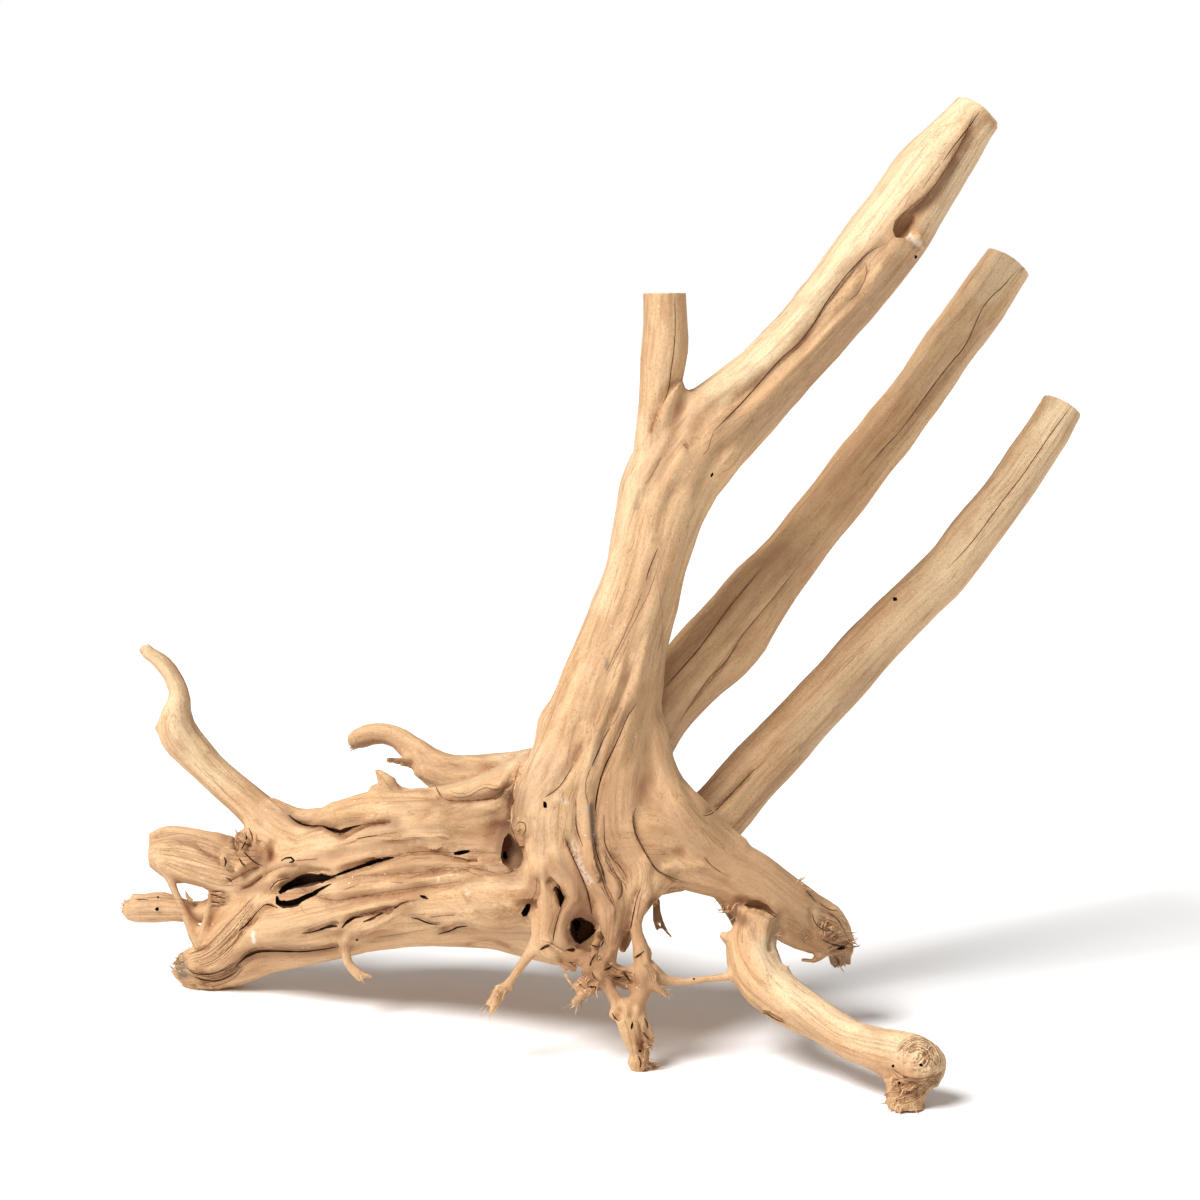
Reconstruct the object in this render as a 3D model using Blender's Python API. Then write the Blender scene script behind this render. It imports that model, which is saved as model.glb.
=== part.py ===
"""Piece of driftwood: a sawn trunk and branches leaning from a spreading base of fused roots.

The whole piece grew as one, so it is a single solid. Every limb is a line of stations, each
with its centre and its radius in millimetres. +Z is up and +X is to the right of the front
view. The origin is on the ground below the middle of the piece.
"""

import math

import bmesh
import bpy
from mathutils import Vector

MM = 0.001
NODE = "driftwood"

# Sizes that drive the mesh, in millimetres
VOXEL = 2.0
SMOOTHING = 0.5
SMOOTHING_ROUNDS = 5
TRIANGLES = 7600
CURVE_STEPS = 6
ROUND_STEPS = 3

# The blocks that cut the sawn ends and the flat under the feet, in millimetres
SAW_BLOCK = 60
GROUND_BLOCK = (700, 500, 60)

# Dry root wood
WOOD_COLOUR = (0.730, 0.479, 0.254, 1.0)
WOOD_ROUGHNESS = 0.78
SHARP_DEGREES = 50

TRUNK = (
    (-6, -23, 67, 21), (-4, -16, 86, 34), (-2, -13, 112, 37), (-1, -11, 132, 32.5),
    (0, -8, 149, 28), (5, -6, 170, 24), (10, -5, 189, 21), (16, -4, 207, 20),
    (21, -3, 226, 19.5), (26, -1, 244, 20.5), (32, 1, 262, 22.5), (39, 3, 274, 21.5),
)
FLARE = (
    (14, -5, 160, 12), (18, -3, 139, 15), (22, -1, 119, 17), (39, -1, 96, 19),
    (51, -1, 85, 17),
)
STUB = (
    (29, -3, 254, 15.5), (25, -1, 272, 12), (26, -1, 291, 10), (27, 0, 309, 10.5),
    (29, 1, 327, 10.5), (29, 2, 349, 10), (29, 2, 362, 10),
)
CROTCH = (
    (30, -1, 286, 8), (36, 0, 299, 6.5), (39, 2, 303, 5),
)
BRANCH_1 = (
    (29, -1, 254, 18), (46, 5, 280, 22), (68, 13, 299, 19.5), (86, 21, 317, 18),
    (107, 31, 341, 18), (130, 45, 368, 19), (148, 55, 393, 18), (159, 61, 408, 17.5),
    (168, 66, 419, 15), (181, 70, 435, 12.5), (189, 73, 445, 12),
)
BRANCH_2 = (
    (14, 9, 127, 16.5), (25, 21, 146, 15.5), (43, 33, 167, 17), (59, 41, 182, 19),
    (77, 51, 204, 17), (91, 59, 220, 14.5), (103, 65, 235, 14), (124, 75, 259, 14),
    (148, 88, 288, 13.5), (163, 96, 308, 13.5), (175, 102, 324, 13.5), (187, 108, 340, 14),
    (204, 115, 363, 13), (212, 118, 374, 13),
)
BRANCH_3 = (
    (27, 5, 80, 16.5), (55, 25, 98, 15), (73, 37, 117, 14.5), (97, 49, 140, 14),
    (113, 57, 156, 13.5), (135, 69, 179, 13.5), (155, 77, 197, 13), (171, 84, 212, 12.5),
    (184, 89, 227, 12.5), (204, 97, 250, 11.5), (215, 102, 266, 11.5), (225, 106, 280, 11),
    (232, 110, 292, 11), (238, 113, 301, 11),
)
HORN = (
    (-230, 91, 170, 3.5), (-222, 91, 165, 4.5), (-215, 90, 156, 5), (-213, 89, 147, 5.5),
    (-214, 89, 138, 8), (-213, 88, 130, 10), (-205, 87, 119, 9), (-192, 84, 107, 9),
    (-177, 80, 94, 9.5), (-164, 76, 84, 11.5), (-151, 69, 77, 15), (-130, 59, 70, 15),
)
SADDLE = (
    (-167, 73, 95, 5.5), (-151, 67, 87, 7.5), (-135, 61, 88, 8.5),
)
BACK_ROOT = (
    (-131, 126, 118, 4.5), (-120, 123, 121, 6), (-108, 120, 122, 5.5), (-97, 116, 115, 7),
    (-86, 109, 107, 9.5), (-69, 94, 105, 12.5), (-48, 69, 108, 15), (-25, 34, 118, 14.5),
    (-6, 9, 122, 16.5),
)
RIDGE = (
    (-142, 63, 84, 11), (-127, 57, 90, 12.5), (-110, 49, 93, 15), (-93, 42, 95, 15.5),
    (-69, 31, 99, 16), (-49, 17, 106, 17), (-27, 1, 117, 20),
)
SPUR = (
    (-98, 47, 100, 7.5), (-104, 48, 108, 4.5), (-109, 49, 116, 2),
)
MIDDLE = (
    (-157, 63, 65, 8.5), (-139, 56, 72, 12), (-118, 45, 76, 14), (-98, 33, 80, 16),
    (-73, 17, 84, 18.5), (-48, 1, 88, 21), (-24, -11, 90, 23.5),
)
FRONT_FOOT = (
    (-214, 87, 9, 7), (-209, 84, 9, 10), (-201, 81, 11, 14), (-189, 76, 20, 14.5),
    (-175, 67, 33, 14.5), (-155, 56, 38, 17), (-134, 45, 44, 18), (-110, 33, 53, 19),
    (-87, 19, 58, 19), (-63, 5, 64, 20.5), (-39, -8, 69, 22), (-15, -17, 73, 23.5),
)
UNDER = (
    (-197, 80, 8, 9), (-185, 77, 11, 9.5), (-166, 70, 19, 8.5), (-140, 57, 28, 9.5),
    (-109, 39, 40, 9.5), (-78, 21, 45, 9), (-51, 5, 48, 9.5), (-27, -11, 49, 11.5),
    (-6, -23, 49, 11.5),
)
CROWN = (
    (-42, 13, 86, 21.5), (-20, 13, 87, 29.5), (4, 13, 89, 32.5), (28, 13, 86, 25),
    (49, 13, 81, 15.5),
)
REAR_STUB = (
    (-20, 23, 94, 21.5), (-36, 59, 87, 15.5), (-46, 91, 79, 11.5), (-51, 117, 70, 9.5),
)
BACK_MASS = (
    (-146, 81, 61, 6.5), (-132, 79, 65, 16.5), (-101, 67, 71, 22.5), (-70, 51, 77, 24.5),
    (-40, 31, 84, 26.5), (-11, 9, 91, 28.5),
)
PADDLE = (
    (-228, 91, 67, 8), (-220, 89, 67, 12.5), (-206, 85, 66, 14.5), (-190, 79, 64, 14.5),
    (-172, 71, 60, 13), (-155, 63, 58, 11.5),
)
CLUSTER = (
    (-183, 71, 75, 6), (-176, 69, 74, 9), (-165, 65, 71, 10),
)
LOW_STUB = (
    (-243, 97, 37, 5.5), (-236, 95, 38, 8), (-227, 93, 39, 8), (-216, 90, 38, 6.5),
    (-206, 87, 37, 5.5), (-195, 83, 40, 7), (-182, 77, 44, 8.5), (-160, 65, 49, 10),
)
RIGHT_LEG = (
    (11, -13, 93, 25.5), (27, -7, 91, 20.5), (46, -3, 83, 15.5), (65, 1, 75, 14),
    (81, 5, 64, 14), (94, 7, 54, 15), (108, 9, 46, 14), (114, 11, 38, 10),
    (115, 12, 31, 6.5),
)
LONG_FOOT = (
    (71, -5, 72, 10), (74, -19, 63, 11), (68, -35, 50, 12.5), (72, -51, 40, 12),
    (80, -61, 34, 10.5), (95, -76, 28, 9.5), (107, -89, 23, 9.5), (120, -103, 21, 10),
    (132, -113, 19, 12.5), (141, -118, 18, 12.5), (147, -121, 17, 9),
)
TOE = (
    (136, -113, 16, 11), (131, -117, 8, 9.5), (131, -118, 0, 9),
)
HIDDEN_FOOT = (
    (42, 23, 89, 13.5), (57, 43, 70, 11.5), (69, 57, 49, 9.5), (77, 67, 28, 8),
    (83, 73, 8, 8.5), (85, 77, -6, 9),
)
LEG_LEFT = (
    (-19, -39, 82, 8), (-23, -45, 72, 7.5), (-26, -47, 61, 7), (-17, -47, 51, 7),
    (-5, -51, 44, 7),
)
LEG_MID = (
    (-3, -45, 79, 10), (-2, -51, 67, 8), (0, -53, 56, 7.5), (0, -55, 45, 7.5),
)
LEG_RIGHT = (
    (14, -43, 83, 9.5), (8, -47, 70, 7.5), (4, -51, 57, 6.5), (4, -55, 47, 7),
)
LEG_FAR = (
    (20, -41, 83, 9.5), (18, -47, 69, 6.5), (17, -51, 57, 5), (19, -54, 48, 4.5),
    (22, -56, 38, 4.5), (18, -59, 29, 5.5),
)
CLUB = (
    (0, -55, 45, 7.5), (4, -58, 37, 6), (12, -61, 29, 7), (15, -61, 18, 7),
    (17, -61, 9, 5.5), (18, -61, 3, 5.5), (18, -61, -3, 5),
)
TIE = (
    (17, -57, 44, 5), (26, -53, 39, 3.5), (40, -51, 38, 2.5), (54, -49, 39, 2.5),
    (66, -47, 41, 3.5),
)
TWIG = (
    (-25, -41, 56, 4.5), (-37, -47, 44, 2.5), (-42, -49, 38, 2.5), (-48, -51, 31, 2.5),
    (-52, -52, 27, 2),
)
HOOK = (
    (-82, 13, 62, 4), (-95, 17, 56, 3), (-107, 19, 48, 2.5), (-121, 23, 41, 2.5),
    (-123, 25, 31, 2.5), (-119, 25, 22, 2.5), (-114, 25, 18, 1.5),
)

# Hollows that the wood closes round: each is a line of stations as the limbs are
LONG_HOLLOW = (
    (-169, 44, 60, 4), (-157, 42, 62, 6.5), (-139, 36, 67, 6.5), (-122, 30, 73, 4),
    (-104, 24, 79, 2.5),
)
TRUNK_PIT = (
    (-44, -32, 100, 6), (-43, -20, 90, 7.5), (-43, -14, 80, 6),
)
ROOT_HOLE = (
    (-10, -70, 62, 5.5), (-9, -56, 62, 6), (-8, -40, 64, 5),
)

TRUNK_LIMBS = {"trunk": TRUNK, "flare": FLARE, "crotch": CROTCH, "crown": CROWN}
SAWN_LIMBS = {"stub": STUB, "branch_1": BRANCH_1, "branch_2": BRANCH_2, "branch_3": BRANCH_3}
LEFT_ROOTS = {
    "horn": HORN,
    "saddle": SADDLE,
    "ridge": RIDGE,
    "spur": SPUR,
    "middle": MIDDLE,
    "front_foot": FRONT_FOOT,
    "under": UNDER,
    "paddle": PADDLE,
    "cluster": CLUSTER,
    "low_stub": LOW_STUB,
}
REAR_ROOTS = {
    "back_root": BACK_ROOT,
    "back_mass": BACK_MASS,
    "rear_stub": REAR_STUB,
    "hidden_foot": HIDDEN_FOOT,
}
RIGHT_ROOTS = {"right_leg": RIGHT_LEG, "long_foot": LONG_FOOT, "toe": TOE}
FRONT_ROOTS = {
    "leg_left": LEG_LEFT,
    "leg_mid": LEG_MID,
    "leg_right": LEG_RIGHT,
    "leg_far": LEG_FAR,
    "club": CLUB,
    "tie": TIE,
    "twig": TWIG,
    "hook": HOOK,
}
HOLLOWS = {"long_hollow": LONG_HOLLOW, "trunk_pit": TRUNK_PIT, "root_hole": ROOT_HOLE}


def clear_scene():
    for obj in list(bpy.data.objects):
        bpy.data.objects.remove(obj)


def link(name, data):
    obj = bpy.data.objects.new(name, data)
    bpy.context.scene.collection.objects.link(obj)
    return obj


def limb_curve(name, stations):
    """A round limb: a smooth curve through its stations, as thick as each one says."""
    curve = bpy.data.curves.new(name, "CURVE")
    curve.dimensions = "3D"
    curve.bevel_depth = MM
    curve.bevel_resolution = ROUND_STEPS
    curve.resolution_u = CURVE_STEPS
    curve.use_fill_caps = True
    spline = curve.splines.new("BEZIER")
    spline.radius_interpolation = "CARDINAL"
    spline.bezier_points.add(len(stations) - 1)
    for point, (x, y, z, radius) in zip(spline.bezier_points, stations):
        point.co = (x * MM, y * MM, z * MM)
        point.handle_left_type = "AUTO"
        point.handle_right_type = "AUTO"
        point.radius = radius
    return link(name, curve)


def take_mesh(obj):
    """The object's evaluated mesh, with the object itself removed."""
    graph = bpy.context.evaluated_depsgraph_get()
    mesh = bpy.data.meshes.new_from_object(obj.evaluated_get(graph))
    bpy.data.objects.remove(obj)
    return mesh


def bundle(name, limbs):
    """All the limbs in one mesh, still as separate tubes that overlap."""
    tubes = bmesh.new()
    for limb, stations in limbs.items():
        tubes.from_mesh(take_mesh(limb_curve(limb, stations)))
    bmesh.ops.recalc_face_normals(tubes, faces=tubes.faces)
    mesh = bpy.data.meshes.new(name)
    tubes.to_mesh(mesh)
    tubes.free()
    return link(name, mesh)


def fuse(obj):
    """Grows the tubes and hollows into one skin."""
    remesh = obj.modifiers.new("fuse", "REMESH")
    remesh.mode = "VOXEL"
    remesh.voxel_size = VOXEL * MM


def soften(obj):
    """Softens the creases where limbs meet."""
    smooth = obj.modifiers.new("soften", "SMOOTH")
    smooth.factor = SMOOTHING
    smooth.iterations = SMOOTHING_ROUNDS


def cut_away(obj, cutter):
    cutter.hide_render = True
    cutter.display_type = "WIRE"
    cut = obj.modifiers.new(cutter.name, "BOOLEAN")
    cut.operation = "DIFFERENCE"
    cut.solver = "EXACT"
    cut.object = cutter


def block(name, size, location):
    cutter = bmesh.new()
    bmesh.ops.create_cube(cutter, size=1)
    bmesh.ops.scale(cutter, vec=Vector(size), verts=cutter.verts)
    mesh = bpy.data.meshes.new(name)
    cutter.to_mesh(mesh)
    cutter.free()
    obj = link(name, mesh)
    obj.location = location
    return obj


def saw_cutter(name, stations):
    """A block beyond the last station but one, square to the limb there."""
    cut = Vector(stations[-2][:3]) * MM
    along = (Vector(stations[-1][:3]) * MM - cut).normalized()
    side = SAW_BLOCK * MM
    cutter = block(name, (side, side, side), cut + along * side / 2)
    cutter.rotation_mode = "QUATERNION"
    cutter.rotation_quaternion = Vector((0, 0, 1)).rotation_difference(along)
    return cutter


def ground_cutter():
    size = Vector(GROUND_BLOCK) * MM
    return block("ground", size, (0, 0, -size.z / 2))


def thin_out(obj):
    """Takes the evaluated mesh and keeps about TRIANGLES faces of it."""
    graph = bpy.context.evaluated_depsgraph_get()
    faces = len(obj.evaluated_get(graph).data.polygons)
    thin = obj.modifiers.new("thin", "DECIMATE")
    thin.use_collapse_triangulate = True
    thin.ratio = TRIANGLES / (2 * faces)


def bake(obj):
    """Replaces the object's mesh with its evaluated one and drops the modifiers."""
    graph = bpy.context.evaluated_depsgraph_get()
    mesh = bpy.data.meshes.new_from_object(obj.evaluated_get(graph))
    obj.modifiers.clear()
    obj.data = mesh


def wood_material():
    material = bpy.data.materials.new("dry_wood")
    material.use_nodes = True
    shader = material.node_tree.nodes["Principled BSDF"]
    shader.inputs["Base Color"].default_value = WOOD_COLOUR
    shader.inputs["Roughness"].default_value = WOOD_ROUGHNESS
    shader.inputs["Metallic"].default_value = 0.0
    return material


def build():
    clear_scene()
    limbs = TRUNK_LIMBS | SAWN_LIMBS | LEFT_ROOTS | REAR_ROOTS | RIGHT_ROOTS | FRONT_ROOTS
    wood = bundle(NODE, limbs)
    fuse(wood)
    bake(wood)
    for name, stations in HOLLOWS.items():
        cut_away(wood, bundle(name, {name: stations}))
    fuse(wood)
    soften(wood)
    bake(wood)
    thin_out(wood)
    bake(wood)
    for name, stations in SAWN_LIMBS.items():
        cut_away(wood, saw_cutter("saw_" + name, stations))
    cut_away(wood, ground_cutter())
    bake(wood)
    wood.data.materials.clear()
    wood.data.materials.append(wood_material())
    wood.data.shade_smooth()
    wood.data.set_sharp_from_angle(angle=math.radians(SHARP_DEGREES))


build()
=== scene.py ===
"""Piece of driftwood: a sawn trunk and branches leaning from a spreading base of fused roots.

The wood is grown from round limbs, whose stations are read off the front view, and fused into
one skin. The skin is then carved along lines of the same view, split by cracks, sawn and torn
at its ends, and dressed with a grain that runs along every limb.
"""

import logging
import math
from collections.abc import Callable
from dataclasses import dataclass, field
from enum import Enum

import bpy
import numpy as np
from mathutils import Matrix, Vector


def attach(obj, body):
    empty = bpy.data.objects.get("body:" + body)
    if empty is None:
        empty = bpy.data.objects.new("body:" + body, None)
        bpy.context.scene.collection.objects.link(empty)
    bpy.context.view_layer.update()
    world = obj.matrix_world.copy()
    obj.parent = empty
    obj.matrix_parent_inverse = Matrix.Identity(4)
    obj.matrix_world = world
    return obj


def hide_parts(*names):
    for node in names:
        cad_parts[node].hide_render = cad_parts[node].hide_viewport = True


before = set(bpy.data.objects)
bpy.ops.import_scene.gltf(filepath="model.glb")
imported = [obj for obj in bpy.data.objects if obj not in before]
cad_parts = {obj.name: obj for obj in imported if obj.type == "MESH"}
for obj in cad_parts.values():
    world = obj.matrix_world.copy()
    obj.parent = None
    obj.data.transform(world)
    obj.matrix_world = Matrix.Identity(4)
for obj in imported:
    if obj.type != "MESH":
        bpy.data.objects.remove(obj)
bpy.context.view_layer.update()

MM = 0.001
TINY = 1e-9
NODE = "driftwood"
BODY = "root"

Pixel = tuple[float, float]
Line = tuple[Pixel, ...]
Station = tuple[float, float, float, float]
log = logging.getLogger("driftwood")


@dataclass(frozen=True)
class PictureView:
    """The front view: where the camera stands and where a point falls in its picture."""

    place: tuple[float, float, float] = (-0.001, -1.211, 0.349)
    pitch_degrees: float = 6.7
    focal: float = 2614.0
    size: float = 1200.0
    sensor: float = 36.0
    depth_zero: float = -0.061

    @property
    def forward(self) -> np.ndarray:
        """Direction the camera looks in."""
        pitch = math.radians(self.pitch_degrees)
        return np.array((0.0, math.cos(pitch), -math.sin(pitch)))

    @property
    def up(self) -> np.ndarray:
        """Direction that is up in the picture."""
        pitch = math.radians(self.pitch_degrees)
        return np.array((0.0, math.sin(pitch), math.cos(pitch)))

    @property
    def lens(self) -> float:
        """Focal length in millimetres for the sensor's width."""
        return self.focal / self.size * self.sensor

    def project(self, points: np.ndarray) -> tuple[np.ndarray, np.ndarray, np.ndarray]:
        """Finds where points fall in the picture.

        Args:
            points: Rows of x, y and z in metres.

        Returns:
            Pixels across, pixels down and the distance ahead of the camera in metres.
        """
        away = points - np.array(self.place)
        ahead = away @ self.forward
        middle = self.size / 2
        return (
            middle + self.focal * away[:, 0] / ahead,
            middle - self.focal * (away @ self.up) / ahead,
            ahead,
        )

    def ray(self, across: float, down: float) -> Vector:
        """Gives the unit direction from the camera through a pixel.

        Args:
            across: Pixels across the picture.
            down: Pixels down the picture.

        Returns:
            The direction.
        """
        middle = self.size / 2
        side = np.array((1.0, 0.0, 0.0)) * (across - middle) / self.focal
        rise = self.up * (middle - down) / self.focal
        return Vector(self.forward + side + rise).normalized()

    def place_at(self, across: float, down: float, depth: float, width: float) -> tuple[np.ndarray, float]:
        """Finds the point behind a pixel at a given depth.

        Args:
            across: Pixels across the picture.
            down: Pixels down the picture.
            depth: Millimetres behind the foremost depth, along +Y.
            width: Pixels that a round limb there is wide.

        Returns:
            The point in metres and the limb's radius in millimetres.
        """
        middle = self.size / 2
        side = np.array((1.0, 0.0, 0.0)) * (across - middle) / self.focal
        way = self.forward + side + self.up * (middle - down) / self.focal
        goal = self.depth_zero + depth * MM
        reach = (goal - self.place[1]) / way[1]
        point = np.array(self.place) + way * reach
        return point, 0.5 * width * reach / self.focal / MM


VIEW = PictureView()


@dataclass(frozen=True)
class Limb:
    """A round limb through its stations.

    Each station says how far across and down the front view it lies and how wide the limb is
    there, in pixels, and how far behind the foremost depth it lies, in millimetres.
    """

    name: str
    stations: tuple[Station, ...]
    grain: bool = True
    sawn: bool = False


@dataclass(frozen=True)
class Strand:
    """A root strand that lies on the wood, fused to it, along a line of the front view."""

    line: Line
    width: float
    proud: float = 1.5


@dataclass(frozen=True)
class Furrow:
    """A soft valley along a line of the front view, or a ridge where its depth is negative."""

    line: Line
    reach: float
    depth: float


@dataclass(frozen=True)
class Fold:
    """A step along a line of the front view, in millimetres.

    The wood on the left hand of the line's way stands up by lip, and that on its right hand
    dips by dip. Both fade within reach pixels.
    """

    line: Line
    lip: float
    dip: float
    reach: float


@dataclass(frozen=True)
class Valley:
    """A sharp crease along a line of the front view, with a soft shoulder on either hand.

    It is depth millimetres deep. Its shoulders reach left and right pixels to the left and to
    the right hand of the line's way.
    """

    line: Line
    depth: float
    left: float
    right: float


@dataclass(frozen=True)
class Comb:
    """Fine grooves between two lines of the front view that share their direction."""

    first: tuple[Pixel, ...]
    last: tuple[Pixel, ...]
    count: int
    reach: float
    depth: float


@dataclass(frozen=True)
class Burl:
    """Curly grain round a middle: its reach and the spacing of its rings, and their height."""

    middle: Pixel
    reach: float
    ring: float
    height: float


@dataclass(frozen=True)
class Crack:
    """A split or dark gap along a line of the front view.

    Each station says how far across and down it lies and how wide the gap is there, in pixels.
    The depth is in millimetres; the last number is the painted shade of its walls, 0 to 1.
    """

    stations: tuple[tuple[float, float, float], ...]
    depth: float
    wall_shade: float = 1.0


@dataclass(frozen=True)
class Crease:
    """A hairline along a line of the front view, drawn in the finish.

    It has a half width in pixels and a darkness. Where its step isn't 0, the wood on the left
    hand of the line's way stands up by about that many millimetres.
    """

    line: Line
    half_width: float = 0.8
    dark: float = 0.7
    step: float = 0.0


@dataclass(frozen=True)
class Hollow:
    """A hole with the given outline in the front view, sunk along the view, in millimetres.

    Narrowing is its size near the bottom against that at its mouth; the last number is the
    painted shade of its walls, 0 to 1.
    """

    outline: Line
    depth: float
    narrowing: float = 0.5
    wall_shade: float = 1.0


@dataclass(frozen=True)
class Pit:
    """A small oval hole: its middle, half sizes and turn in the front view, and its depth."""

    middle: Pixel
    half_sizes: Pixel
    turn: float
    depth: float


@dataclass(frozen=True)
class Knob:
    """A soft round swelling, or a dip where its height is negative, in the front view."""

    middle: Pixel
    reach: float
    height: float


@dataclass(frozen=True)
class Torn:
    """A torn place: a middle in the front view with its depth, its reach and its roughness."""

    middle: tuple[float, float, float]
    reach: float
    roughness: float


@dataclass(frozen=True)
class Spray:
    """Loose fibres that stand out of a torn end.

    start and end are places in the front view with their depth; the fibres root round the
    start and point past the end. Lengths and widths are in millimetres.
    """

    start: tuple[float, float, float]
    end: tuple[float, float, float]
    count: int
    reach: float
    length: float
    width: float
    spread: float = 0.35


class Mark(Enum):
    """Colours painted along lines of the front view, by the attribute that holds them."""

    # Painted shade in crevices, pits and the gaps between roots and legs
    CREVICE_SHADE = "crevice_shade"
    STAIN = "stain"
    CHALK = "chalk"
    TORN = "torn"
    TAN = "tan"
    # Bleached wood, and painted highlight on tops and edges that face the light
    PALE_AND_HIGHLIGHT = "pale"
    # Painted shade in hollows, under overhangs and on sides turned from the light
    SHADE = "shade"


@dataclass(frozen=True)
class Paint:
    """A painted line or spot of the front view, with its reach in pixels and its strength."""

    mark: Mark
    line: Line
    reach: float
    strength: float = 1.0


def painted(mark: Mark, strokes: tuple[tuple[Line, float, float], ...]) -> tuple[Paint, ...]:
    """Paints one mark along several lines, each with its reach and its strength."""
    return tuple(Paint(mark, *stroke) for stroke in strokes)


TRUNK_LIMBS = (
    Limb("trunk", ((594, 956, 30, 46), (592, 932, 58, 46), (588, 905, 92, 45), (586, 875, 116, 46),
        (582, 840, 122, 50), (582, 805, 128, 53), (588, 770, 120, 54), (597, 735, 118, 54),
        (605, 708, 108, 55), (613, 680, 104, 55), (624, 640, 91, 56), (637, 600, 85, 57),
        (648, 560, 83, 58), (658, 520, 88, 60), (670, 482, 96, 62), (686, 455, 92, 64))),
    Limb("trunk_left", ((586, 720, 50, 48), (575, 745, 60, 45), (563, 775, 72, 42), (554, 805, 82, 40),
        (553, 835, 77, 40), (556, 860, 68, 42), (562, 885, 50, 44))),
    Limb("flare", ((630, 690, 50, 54), (640, 740, 58, 54), (648, 775, 62, 53), (657, 800, 72, 52),
        (672, 825, 84, 51), (700, 850, 80, 51), (730, 868, 66, 51))),
    Limb("stub", ((664, 500, 66, 58), (657, 460, 52, 60), (659, 420, 44, 60), (661, 380, 45, 61),
        (665, 340, 45, 62), (665, 293, 43, 63), (665, 265, 43, 63)), sawn=True),
    Limb("crotch", ((668, 430, 34, 60), (680, 402, 28, 61), (687, 393, 22, 63)), grain=False),
    Limb("crown", ((515, 848, 90, 76), (560, 846, 124, 76), (610, 842, 136, 76), (660, 848, 104, 76),
        (705, 858, 66, 72)), grain=False),
    Limb("branch_1", ((664, 500, 78, 60), (702, 443, 94, 66), (747, 400, 84, 74), (785, 361, 77, 82),
        (829, 311, 76, 92), (875, 252, 80, 106), (911, 201, 75, 116), (932, 169, 72, 122),
        (951, 146, 62, 127), (977, 114, 52, 131), (993, 93, 50, 134)), sawn=True),
    Limb("branch_2", ((632, 765, 70, 70), (654, 722, 66, 82), (691, 674, 70, 94), (725, 640, 78, 102),
        (760, 593, 70, 112), (789, 559, 60, 120), (812, 528, 57, 126), (853, 477, 57, 136),
        (900, 417, 55, 149), (930, 376, 54, 157), (952, 343, 54, 163), (975, 311, 55, 169),
        (1007, 264, 52, 176), (1022, 242, 52, 179)), sawn=True),
    Limb("branch_3", ((660, 865, 70, 66), (716, 818, 62, 86), (753, 775, 59, 98), (800, 725, 57, 110),
        (832, 690, 56, 118), (876, 640, 54, 130), (915, 601, 52, 138), (946, 570, 51, 145),
        (971, 538, 50, 150), (1008, 491, 46, 158), (1029, 460, 45, 163), (1048, 431, 44, 167),
        (1062, 407, 43, 171), (1073, 388, 43, 174)), sawn=True),
)

LEFT_LIMBS = (
    Limb("horn", ((145, 651, 13, 152), (160, 661, 17, 152), (174, 680, 19, 151), (179, 697, 22, 150),
        (177, 715, 31, 150), (178, 731, 38, 149), (194, 752, 36, 148), (220, 778, 35, 145),
        (250, 804, 38, 141), (274, 826, 44, 137), (300, 842, 50, 130), (340, 856, 50, 120))),
    Limb("horn_tip", ((141, 652, 5, 152), (144, 650, 9, 152), (150, 645, 5, 152)), grain=False),
    Limb("horn_spur", ((172, 732, 20, 149), (161, 729, 10, 149), (156, 727, 4, 149)), grain=False),
    Limb("saddle", ((268, 806, 22, 134), (298, 823, 30, 128), (330, 824, 34, 122))),
    Limb("ridge", ((316, 832, 40, 124), (345, 822, 46, 118), (378, 818, 58, 110), (412, 818, 62, 103),
        (460, 815, 66, 92), (500, 805, 72, 78), (545, 790, 84, 62))),
    Limb("spur", ((406, 806, 30, 108), (396, 795, 22, 108), (386, 783, 14, 109), (380, 775, 7, 110),
        (376, 770, 3, 110))),
    Limb("spur_foot", ((398, 800, 18, 107), (384, 792, 14, 107), (370, 788, 7, 108))),
    Limb("middle", ((285, 868, 34, 124), (320, 858, 46, 117), (360, 854, 56, 106), (400, 852, 66, 94),
        (450, 850, 78, 78), (500, 852, 80, 74), (550, 850, 100, 54))),
    Limb("front_foot", ((181, 966, 28, 148), (190, 968, 39, 145), (205, 966, 53, 142),
        (227, 951, 56, 137), (252, 930, 56, 128), (289, 925, 67, 117), (329, 919, 73, 106),
        (376, 906, 78, 94), (421, 903, 79, 79), (469, 897, 86, 61), (519, 893, 94, 47),
        (570, 889, 101, 42))),
    Limb("under", ((212, 972, 36, 141), (235, 968, 38, 138), (271, 956, 34, 131), (320, 944, 38, 118),
        (379, 930, 39, 100), (440, 928, 37, 82), (495, 930, 40, 66), (545, 937, 49, 50),
        (589, 943, 49, 38))),
    Limb("paddle", ((152, 853, 30, 152), (168, 854, 48, 150), (195, 857, 57, 146), (225, 863, 56, 140),
        (258, 874, 50, 132), (290, 882, 46, 124))),
    Limb("paddle_lobe", ((150, 840, 14, 151), (166, 836, 20, 150), (190, 838, 22, 146),
        (222, 846, 22, 140))),
    Limb("cluster_top", ((240, 833, 15, 130), (250, 841, 24, 128), (268, 852, 34, 124))),
    Limb("cluster_low", ((229, 855, 14, 132), (240, 862, 26, 130), (258, 868, 32, 126))),
    Limb("low_stub", ((124, 906, 14, 158), (132, 909, 25, 157), (146, 908, 30, 155), (160, 907, 31, 154),
        (176, 909, 26, 151), (196, 912, 22, 148), (216, 909, 28, 144), (240, 903, 34, 138),
        (280, 900, 40, 126))),
    Limb("low_stub_lobe", ((131, 896, 8, 156), (140, 899, 12, 155), (156, 902, 14, 154))),
)

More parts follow.
